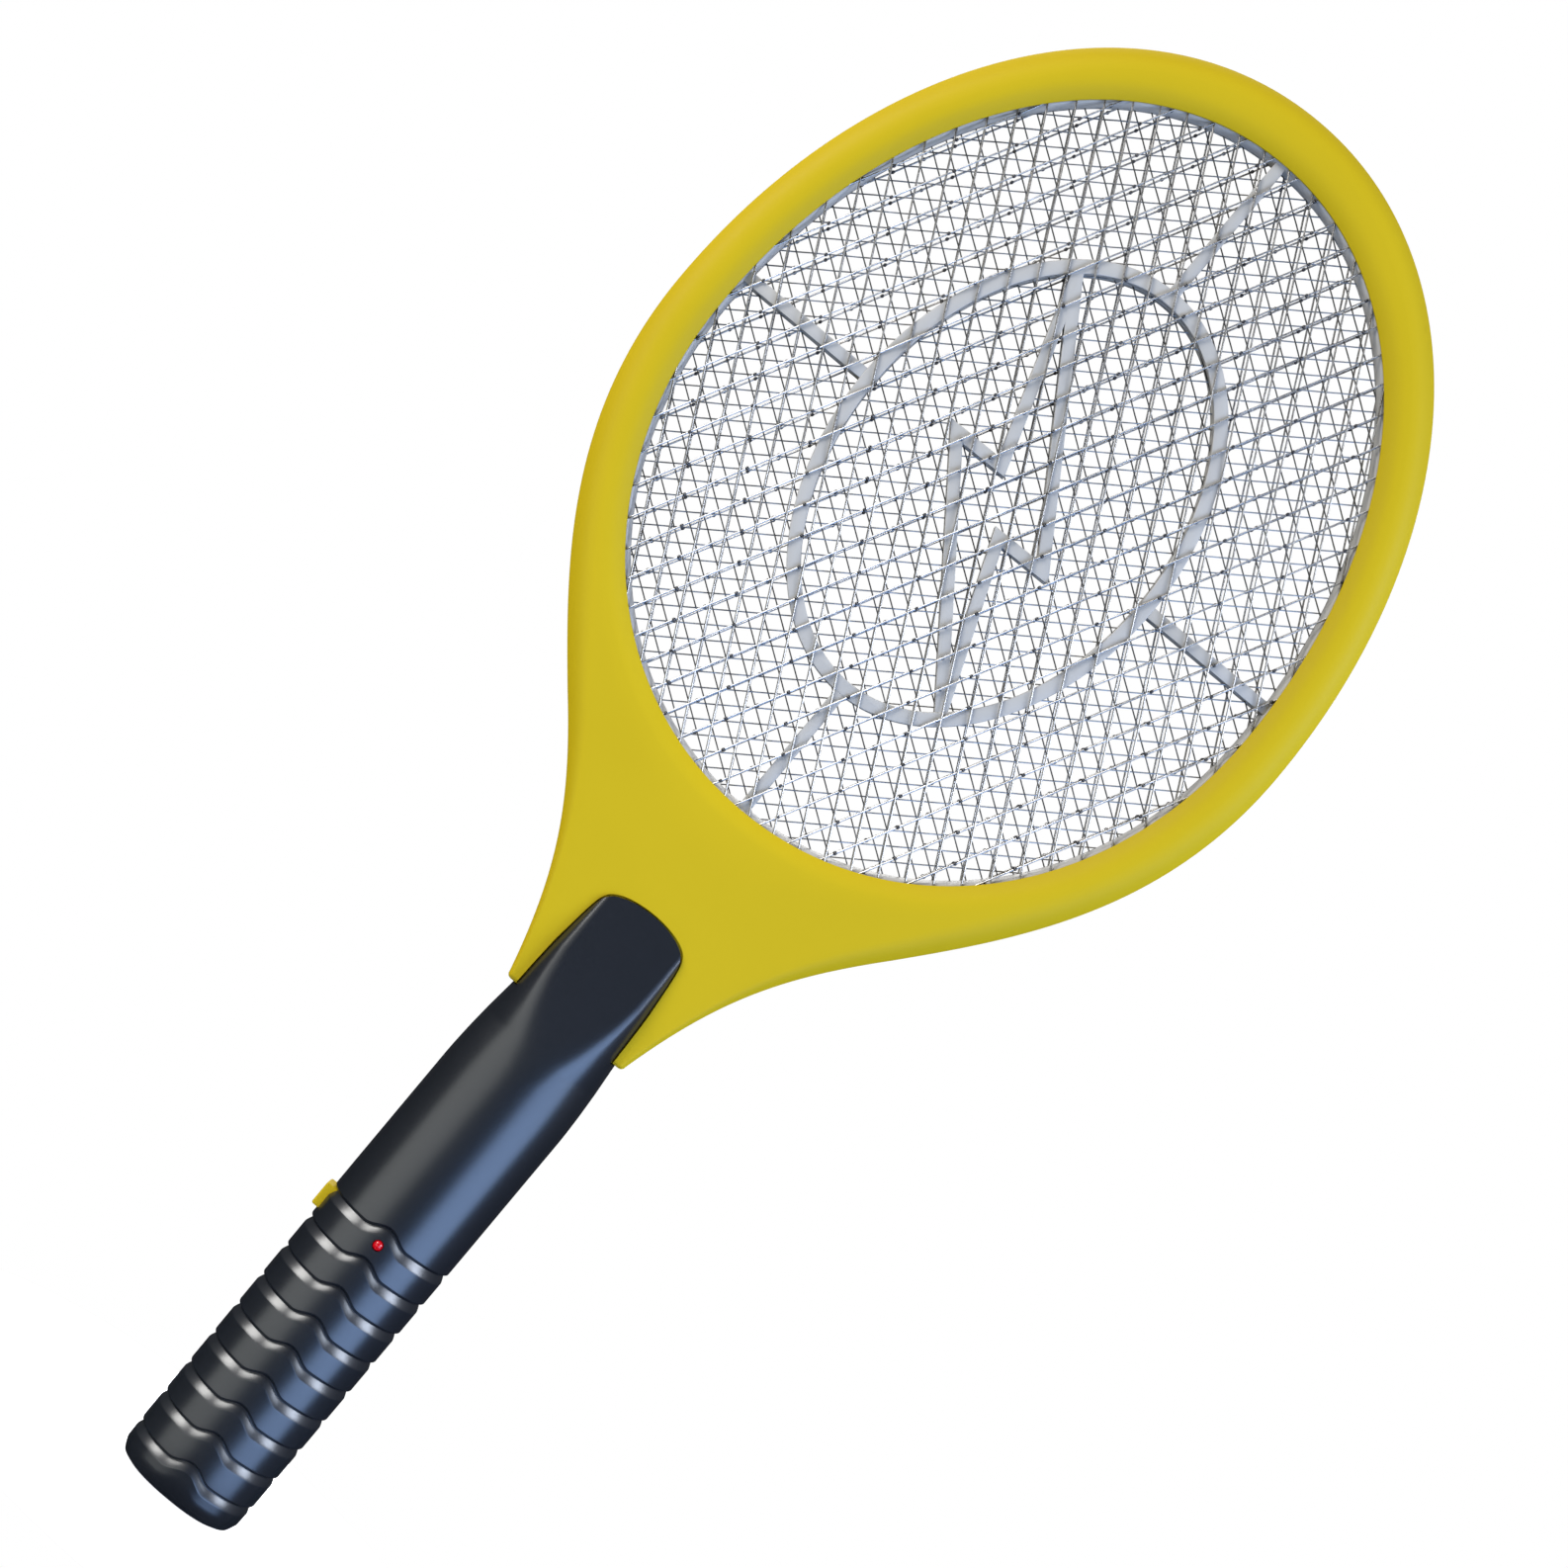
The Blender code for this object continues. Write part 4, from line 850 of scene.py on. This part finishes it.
def make_screws(steel):
    head_radius, head_height = SCREW_HEAD
    shank_radius, shank_length = SCREW_SHANK
    end = -head_height - shank_length
    profile = [(end, 0.3 * MM), (end + 1.6 * MM, shank_radius), (-head_height, shank_radius),
               (-head_height, head_radius - 0.1 * MM), (-head_height + 0.15 * MM, head_radius),
               (-0.5 * MM, head_radius), (-0.22 * MM, head_radius - 0.12 * MM),
               (-0.06 * MM, head_radius - 0.45 * MM), (0.0, head_radius - 0.9 * MM), (0.0, 0.1 * MM)]
    pattern = turned(profile, (0, 0, 0), (0, 1, 0), 32, "screw")
    for across, up in ((1.15 * MM, 0.24 * MM), (0.24 * MM, 1.15 * MM)):
        solve(pattern, box((-across, -0.75 * MM, -up), (across, 1.0 * MM, up), "cross"), "DIFFERENCE")
    places = [(f"frame_screw_{i + 1}", place, SCREW_TOP) for i, place in enumerate(frame_screw_places())]
    places += [(f"handle_screw_{i + 1}", place, SCREW_TOP) for i, place in enumerate(HANDLE_SCREWS)]
    places.append(("tongue_screw", TONGUE_SCREW, TONGUE_SCREW_TOP))
    for name, (x, z), top in places:
        mesh = pattern.data.copy()
        turn = Matrix.Rotation(0.7 * len(name) + 37.0 * x, 4, "Y")
        mesh.transform(Matrix.Translation((x, top, z)) @ turn)
        screw = bpy.data.objects.new(name + "_fine", mesh)
        bpy.context.scene.collection.objects.link(screw)
        smooth(screw, 35.0)
        finish(screw, steel, "racket", "screw_steel", name)
    mesh = pattern.data
    bpy.data.objects.remove(pattern, do_unlink=True)
    bpy.data.meshes.remove(mesh)


def coil(centre, axis, length, shape, name):
    """A coil spring that runs from centre along axis."""
    turns, radius_start, radius_end, wire_radius = shape
    turn = Vector(axis).to_track_quat("Z", "Y").to_matrix()
    count = int(turns * COIL_STEPS)
    path = []
    for i in range(count + 1):
        part = i / count
        angle = 2 * math.pi * turns * part
        radius = radius_start + (radius_end - radius_start) * part
        rise = wire_radius + (length - 2 * wire_radius) * part
        path.append(Vector(centre) + turn @ Vector((radius * math.cos(angle),
                                                    radius * math.sin(angle), rise)))
    return tubes([path], wire_radius, 10, name)


def make_power(sleeve, steel):
    low = BRIDGE_Z + PLATE_THICK + GAP
    for name, x, bottom, nub_up in (("battery_1", -CELL_X, low + CELL_SPRING + GAP, True),
                                    ("battery_2", CELL_X, low, False)):
        sign = 1.0 if nub_up else -1.0
        start = bottom if nub_up else bottom + CELL_LENGTH + CELL_NUB
        r = CELL_RADIUS
        sleeve_profile = [(0.0, 5.2 * MM), (0.0, r - 0.6 * MM), (0.15 * MM, r - 0.2 * MM), (0.5 * MM, r),
                          (CELL_LENGTH - 0.6 * MM, r), (CELL_LENGTH - 0.15 * MM, r - 0.25 * MM),
                          (CELL_LENGTH, r - 0.8 * MM), (CELL_LENGTH, 5.0 * MM)]
        body = turned(sleeve_profile, (x, 0, start), (0, 0, sign), 56, name + "_sleeve")
        smooth(body, 35.0)
        finish(body, sleeve, "racket", "cell_sleeve", name)
        cap = turned([(CELL_LENGTH - 0.4 * MM, 4.6 * MM), (CELL_LENGTH + 0.1 * MM, 4.6 * MM),
                      (CELL_LENGTH + 0.1 * MM, 2.7 * MM), (CELL_LENGTH + CELL_NUB - 0.3 * MM, 2.6 * MM),
                      (CELL_LENGTH + CELL_NUB, 2.2 * MM)],
                     (x, 0, start), (0, 0, sign), 40, name + "_cap")
        smooth(cap, 35.0)
        finish(cap, steel, "racket", "contact_steel")
    lower = coil((-CELL_X, 0, low), (0, 0, 1), CELL_SPRING, CELL_SPRING_SHAPE, "lower_spring_wire")
    finish(lower, steel, "racket", "contact_steel", "lower_battery_spring")
    upper = coil((CELL_X, 0, PLATE_Z - GAP), (0, 0, -1), CELL_SPRING, CELL_SPRING_SHAPE,
                 "upper_spring_wire")
    finish(upper, steel, "racket", "contact_steel", "upper_battery_spring")


def make_button_spring(steel):
    """The spring behind the button, drawn at its full length; the real one shortens to 0.6 of it as the
    button goes in.
    """
    seat = BUTTON_SPRING_SEAT
    spring = coil((seat - BUTTON_SPRING, 0, BUTTON_Z), (1, 0, 0), BUTTON_SPRING, BUTTON_SPRING_SHAPE,
                  "button_spring_wire")
    finish(spring, steel, "racket", "contact_steel", "button_spring")
    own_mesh(spring)


# ---- materials ----
MATERIALS = {}


def finish(obj, material, body, slot, *nodes):
    obj.data.materials.clear()
    obj.data.materials.append(material)
    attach(obj, body)
    if nodes:
        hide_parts(*nodes)


def new_material(name, colour, roughness, metallic=0.0, **inputs):
    material = bpy.data.materials.new(name)
    material.use_nodes = True
    shader = material.node_tree.nodes["Principled BSDF"]
    shader.inputs["Base Color"].default_value = (*colour, 1.0)
    shader.inputs["Roughness"].default_value = roughness
    shader.inputs["Metallic"].default_value = metallic
    for key, value in inputs.items():
        shader.inputs[key.replace("_", " ")].default_value = value
    return material


def math_node(nodes, links, operation, *values):
    node = nodes.new("ShaderNodeMath")
    node.operation = operation
    for socket, value in zip(node.inputs, values):
        if isinstance(value, float):
            socket.default_value = value
        else:
            links.new(value, socket)
    return node.outputs["Value"]


def map_node(nodes, links, value, before, after):
    node = nodes.new("ShaderNodeMapRange")
    for name, number in zip(("From Min", "From Max", "To Min", "To Max"), (*before, *after)):
        node.inputs[name].default_value = number
    links.new(value, node.inputs["Value"])
    return node.outputs["Result"]


def noise_node(nodes, links, place, scale, detail):
    node = nodes.new("ShaderNodeTexNoise")
    node.inputs["Scale"].default_value = scale
    node.inputs["Detail"].default_value = detail
    links.new(place.outputs["Object"], node.inputs["Vector"])
    return node.outputs["Fac"]


def add_noise_detail(material, dark, light, scale, bump, bump_scale, rough_low, rough_high):
    """Vary colour and roughness over the surface, with a fine bump."""
    tree = material.node_tree
    nodes = tree.nodes
    links = tree.links
    shader = nodes["Principled BSDF"]
    place = nodes.new("ShaderNodeTexCoord")
    broad = noise_node(nodes, links, place, scale, 4.0)
    ramp = nodes.new("ShaderNodeValToRGB")
    ramp.color_ramp.elements[0].position = 0.3
    ramp.color_ramp.elements[0].color = (*dark, 1.0)
    ramp.color_ramp.elements[1].position = 0.7
    ramp.color_ramp.elements[1].color = (*light, 1.0)
    links.new(broad, ramp.inputs["Fac"])
    links.new(ramp.outputs["Color"], shader.inputs["Base Color"])
    fine = noise_node(nodes, links, place, bump_scale, 6.0)
    gloss = map_node(nodes, links, fine, (0.3, 0.7), (rough_low, rough_high))
    links.new(gloss, shader.inputs["Roughness"])
    relief = nodes.new("ShaderNodeBump")
    relief.inputs["Strength"].default_value = bump
    relief.inputs["Distance"].default_value = BUMP_DISTANCE
    links.new(fine, relief.inputs["Height"])
    links.new(relief.outputs["Normal"], shader.inputs["Normal"])
    return material


NOISY_MATERIALS = (
    # key, name, colour, roughness, metallic,
    # dark and light colour, scale, bump, bump scale, least and most roughness
    ("yellow", "yellow_plastic", (0.50, 0.36, 0.004), 0.58, 0.0,
     (0.49, 0.352, 0.004), (0.512, 0.368, 0.005), 18.0, 0.05, 1400.0, 0.54, 0.62),
    ("dark", "dark_plastic", (0.004, 0.006, 0.010), 0.30, 0.0,
     (0.0035, 0.0055, 0.009), (0.0045, 0.0065, 0.011), 30.0, 0.03, 1800.0, 0.28, 0.32),
    ("grey", "grey_plastic", (0.43, 0.415, 0.39), 0.45, 0.0,
     (0.41, 0.395, 0.37), (0.45, 0.435, 0.41), 40.0, 0.06, 1500.0, 0.40, 0.52),
    ("coarse", "net_wire_coarse", (0.42, 0.405, 0.39), 0.3, 1.0,
     (0.32, 0.31, 0.30), (0.50, 0.485, 0.47), 90.0, 0.2, 3000.0, 0.22, 0.36),
    ("fine", "net_wire_fine", (0.20, 0.195, 0.19), 0.34, 1.0,
     (0.15, 0.146, 0.142), (0.26, 0.255, 0.25), 90.0, 0.2, 3000.0, 0.26, 0.40),
    ("knot", "net_knot", (0.08, 0.08, 0.085), 0.4, 1.0,
     (0.05, 0.05, 0.055), (0.12, 0.12, 0.125), 200.0, 0.3, 3000.0, 0.34, 0.5),
    ("steel", "plated_steel", (0.62, 0.62, 0.63), 0.28, 1.0,
     (0.56, 0.56, 0.57), (0.66, 0.66, 0.67), 120.0, 0.15, 2500.0, 0.22, 0.36),
    ("sleeve", "cell_sleeve", (0.04, 0.10, 0.22), 0.3, 0.0,
     (0.035, 0.09, 0.20), (0.045, 0.11, 0.24), 60.0, 0.04, 900.0, 0.26, 0.34),
    ("black", "moulded_black", (0.03, 0.03, 0.03), 0.5, 0.0,
     (0.025, 0.025, 0.025), (0.035, 0.035, 0.036), 200.0, 0.15, 3000.0, 0.45, 0.6),
    ("board", "board", (0.02, 0.14, 0.05), 0.4, 0.0,
     (0.018, 0.12, 0.045), (0.024, 0.16, 0.055), 300.0, 0.1, 1200.0, 0.35, 0.5),
    ("copper", "enamelled_copper", (0.50, 0.20, 0.05), 0.3, 1.0,
     (0.44, 0.17, 0.04), (0.55, 0.23, 0.06), 400.0, 0.3, 4000.0, 0.26, 0.4),
    ("red_plastic", "red_coating", (0.42, 0.03, 0.02), 0.3, 0.0,
     (0.38, 0.025, 0.018), (0.46, 0.035, 0.024), 120.0, 0.1, 1500.0, 0.26, 0.38),
    ("ochre", "ochre_coating", (0.55, 0.32, 0.05), 0.35, 0.0,
     (0.50, 0.29, 0.045), (0.60, 0.35, 0.055), 150.0, 0.1, 1500.0, 0.3, 0.42),
    ("tan", "resistor_coating", (0.55, 0.42, 0.25), 0.4, 0.0,
     (0.50, 0.38, 0.22), (0.60, 0.46, 0.28), 200.0, 0.1, 1500.0, 0.36, 0.46),
    ("ferrite", "ferrite", (0.05, 0.05, 0.055), 0.6, 0.0,
     (0.04, 0.04, 0.045), (0.06, 0.06, 0.066), 300.0, 0.3, 3000.0, 0.55, 0.7),
    ("red_rubber", "red_insulation", (0.5, 0.01, 0.01), 0.45, 0.0,
     (0.45, 0.009, 0.009), (0.55, 0.012, 0.012), 200.0, 0.1, 2000.0, 0.4, 0.5),
    ("black_rubber", "black_insulation", (0.012, 0.012, 0.012), 0.45, 0.0,
     (0.010, 0.010, 0.010), (0.015, 0.015, 0.015), 200.0, 0.1, 2000.0, 0.4, 0.5),
)
EXTRA_INPUTS = {"yellow": {"Specular_IOR_Level": 0.16},
                "dark": {"Specular_IOR_Level": 0.9},
                "sleeve": {"Coat_Weight": 0.2}}


def make_materials():
    for key, name, colour, roughness, metallic, *detail in NOISY_MATERIALS:
        plain = new_material(name, colour, roughness, metallic, **EXTRA_INPUTS.get(key, {}))
        MATERIALS[key] = add_noise_detail(plain, *detail)
    MATERIALS["red"] = new_material("red_lens", (0.52, 0.002, 0.008), 0.16,
                                    Transmission_Weight=0.08, IOR=1.5, Coat_Weight=0.1,
                                    Emission_Strength=0.04,
                                    Emission_Color=(1.0, 0.005, 0.01, 1.0))


CARRIED = {
    "steel": ("battery_bridge", "positive_contact", "negative_contact"),
    "red_plastic": ("switch_plunger", "storage_capacitor"),
    "black": ("switch_body", "transistor",
              "rectifier_diode_1", "rectifier_diode_2", "rectifier_diode_3"),
    "board": ("circuit_board",),
    "ferrite": ("transformer_core",),
    "copper": ("transformer_winding",),
    "ochre": ("multiplier_capacitor_1", "multiplier_capacitor_2"),
    "tan": ("bleed_resistor", "base_resistor"),
    "red_rubber": ("battery_lead_red", "net_lead"),
    "black_rubber": ("battery_lead_black", "front_grid_lead", "rear_grid_lead"),
}


def carry_over():
    """Better materials on the model's own pieces."""
    for key, names in CARRIED.items():
        for name in names:
            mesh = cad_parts[name].data
            mesh.materials.clear()
            mesh.materials.append(MATERIALS[key])


# ---- stage ----
def strip_light(name, place, target, size, colour, watts):
    light = bpy.data.lights.new(name, "AREA")
    light.shape = "RECTANGLE"
    light.size = size[0]
    light.size_y = size[1]
    light.color = colour
    light.energy = watts
    obj = bpy.data.objects.new(name, light)
    bpy.context.scene.collection.objects.link(obj)
    back = (Vector(place) - Vector(target)).normalized()
    up = Vector((0.0, 0.0, 1.0))
    right = up.cross(back).normalized()
    up = back.cross(right)
    obj.matrix_world = Matrix.Translation(place) @ Matrix((right, up, back)).transposed().to_4x4()
    obj.visible_camera = False


CAMERA_PLACE = (0.0039, -0.8008, 0.2385)
CAMERA_ROLL = math.radians(39.9)
LENS = 71.7
SENSOR = 36.0
FLOOR_RADIUS = 0.09
FLOOR_DROP = 0.3 * MM               # below the handle's end
# world fill: from each first range to the second
RISE_FILL = ((-0.35, 0.7), (0.04, 0.42))
ASIDE_SHARE = ((0.10, 0.50), (0.30, 1.0))
BEHIND_SHARE = ((0.1, 0.6), (1.0, 0.45))
GRIP_MIDDLE = (0.0, 0.0, 0.08)
LIGHTS = (
    # name, place, target, size, colour, watts
    ("left_low", (-0.42, -0.62, -0.02), GRIP_MIDDLE, (0.64, 0.50), (0.97, 1.0, 0.97), 1.4),
    ("left_high", (-0.66, -0.42, 0.56), GRIP_MIDDLE, (0.40, 0.40), (1.0, 0.99, 0.96), 6.6),
    ("right_low", (0.54, -0.58, -0.02), GRIP_MIDDLE, (0.66, 0.50), (0.37, 0.57, 1.0), 5.2),
    ("right_high", (0.69, -0.37, 0.56), GRIP_MIDDLE, (0.34, 0.40), (0.74, 0.83, 1.0), 6.6),
    ("back", (-0.30, 0.80, 0.95), (0.0, 0.0, 0.23), (0.80, 0.80), (1.0, 1.0, 1.0), 9.0),
)


def make_stage():
    world = bpy.data.worlds.new("studio")
    bpy.context.scene.world = world
    world.use_nodes = True
    nodes = world.node_tree.nodes
    links = world.node_tree.links
    seen = nodes["Background"]
    seen.inputs["Color"].default_value = (1.0, 1.0, 1.0, 1.0)
    seen.inputs["Strength"].default_value = 1.0
    fill = nodes.new("ShaderNodeBackground")
    fill.inputs["Color"].default_value = (0.93, 0.95, 1.0, 1.0)
    # the fill comes mostly from above
    place = nodes.new("ShaderNodeTexCoord")
    split = nodes.new("ShaderNodeSeparateXYZ")
    links.new(place.outputs["Generated"], split.inputs["Vector"])
    rise = map_node(nodes, links, split.outputs["Z"], *RISE_FILL)
    rays = nodes.new("ShaderNodeLightPath")
    # reflections see less of it straight ahead and from behind
    aside = math_node(nodes, links, "ABSOLUTE", split.outputs["X"])
    wide = map_node(nodes, links, aside, *ASIDE_SHARE)
    behind = map_node(nodes, links, split.outputs["Y"], *BEHIND_SHARE)
    share = math_node(nodes, links, "MULTIPLY", wide, behind)
    lost = math_node(nodes, links, "SUBTRACT", 1.0, share)
    lost = math_node(nodes, links, "MULTIPLY", lost, rays.outputs["Is Glossy Ray"])
    share = math_node(nodes, links, "SUBTRACT", 1.0, lost)
    strength = math_node(nodes, links, "MULTIPLY", rise, share)
    links.new(strength, fill.inputs["Strength"])
    mix = nodes.new("ShaderNodeMixShader")
    links.new(rays.outputs["Is Camera Ray"], mix.inputs["Fac"])
    links.new(fill.outputs["Background"], mix.inputs[1])
    links.new(seen.outputs["Background"], mix.inputs[2])
    links.new(mix.outputs["Shader"], nodes["World Output"].inputs["Surface"])

    bm = bmesh.new()
    bmesh.ops.create_circle(bm, cap_ends=True, segments=96, radius=FLOOR_RADIUS)
    floor = add_mesh(bm, "floor")
    floor.visible_glossy = False
    floor.location = (0.0, 0.0, -FLOOR_DROP)
    paper = new_material("floor_paper", (0.85, 0.85, 0.85), 0.9, Emission_Strength=0.95)
    paper.node_tree.nodes["Principled BSDF"].inputs["Emission Color"].default_value = (1, 1, 1, 1)
    floor.data.materials.append(paper)

    for name, place, target, size, colour, watts in LIGHTS:
        strip_light(name, place, target, size, colour, watts)

    camera = bpy.data.cameras.new("camera")
    camera.lens = LENS
    camera.sensor_width = SENSOR
    camera.clip_start = 0.01
    across, rise = math.cos(CAMERA_ROLL), math.sin(CAMERA_ROLL)
    right = Vector((across, 0.0, rise))
    up = Vector((-rise, 0.0, across))
    back = Vector((0.0, -1.0, 0.0))
    obj = bpy.data.objects.new("camera", camera)
    bpy.context.scene.collection.objects.link(obj)
    obj.matrix_world = (Matrix.Translation(CAMERA_PLACE)
                        @ Matrix((right, up, back)).transposed().to_4x4())
    bpy.context.scene.camera = obj
    bpy.context.scene.view_settings.view_transform = "Standard"


def main():
    make_materials()
    make_frames(MATERIALS["yellow"])
    make_nets(MATERIALS["coarse"], MATERIALS["fine"], MATERIALS["knot"])
    make_spacers(MATERIALS["grey"])
    make_handle(MATERIALS["dark"])
    make_button(MATERIALS["yellow"])
    make_led(MATERIALS["red"])
    make_screws(MATERIALS["steel"])
    make_power(MATERIALS["sleeve"], MATERIALS["steel"])
    make_button_spring(MATERIALS["steel"])
    carry_over()
    make_stage()


main()
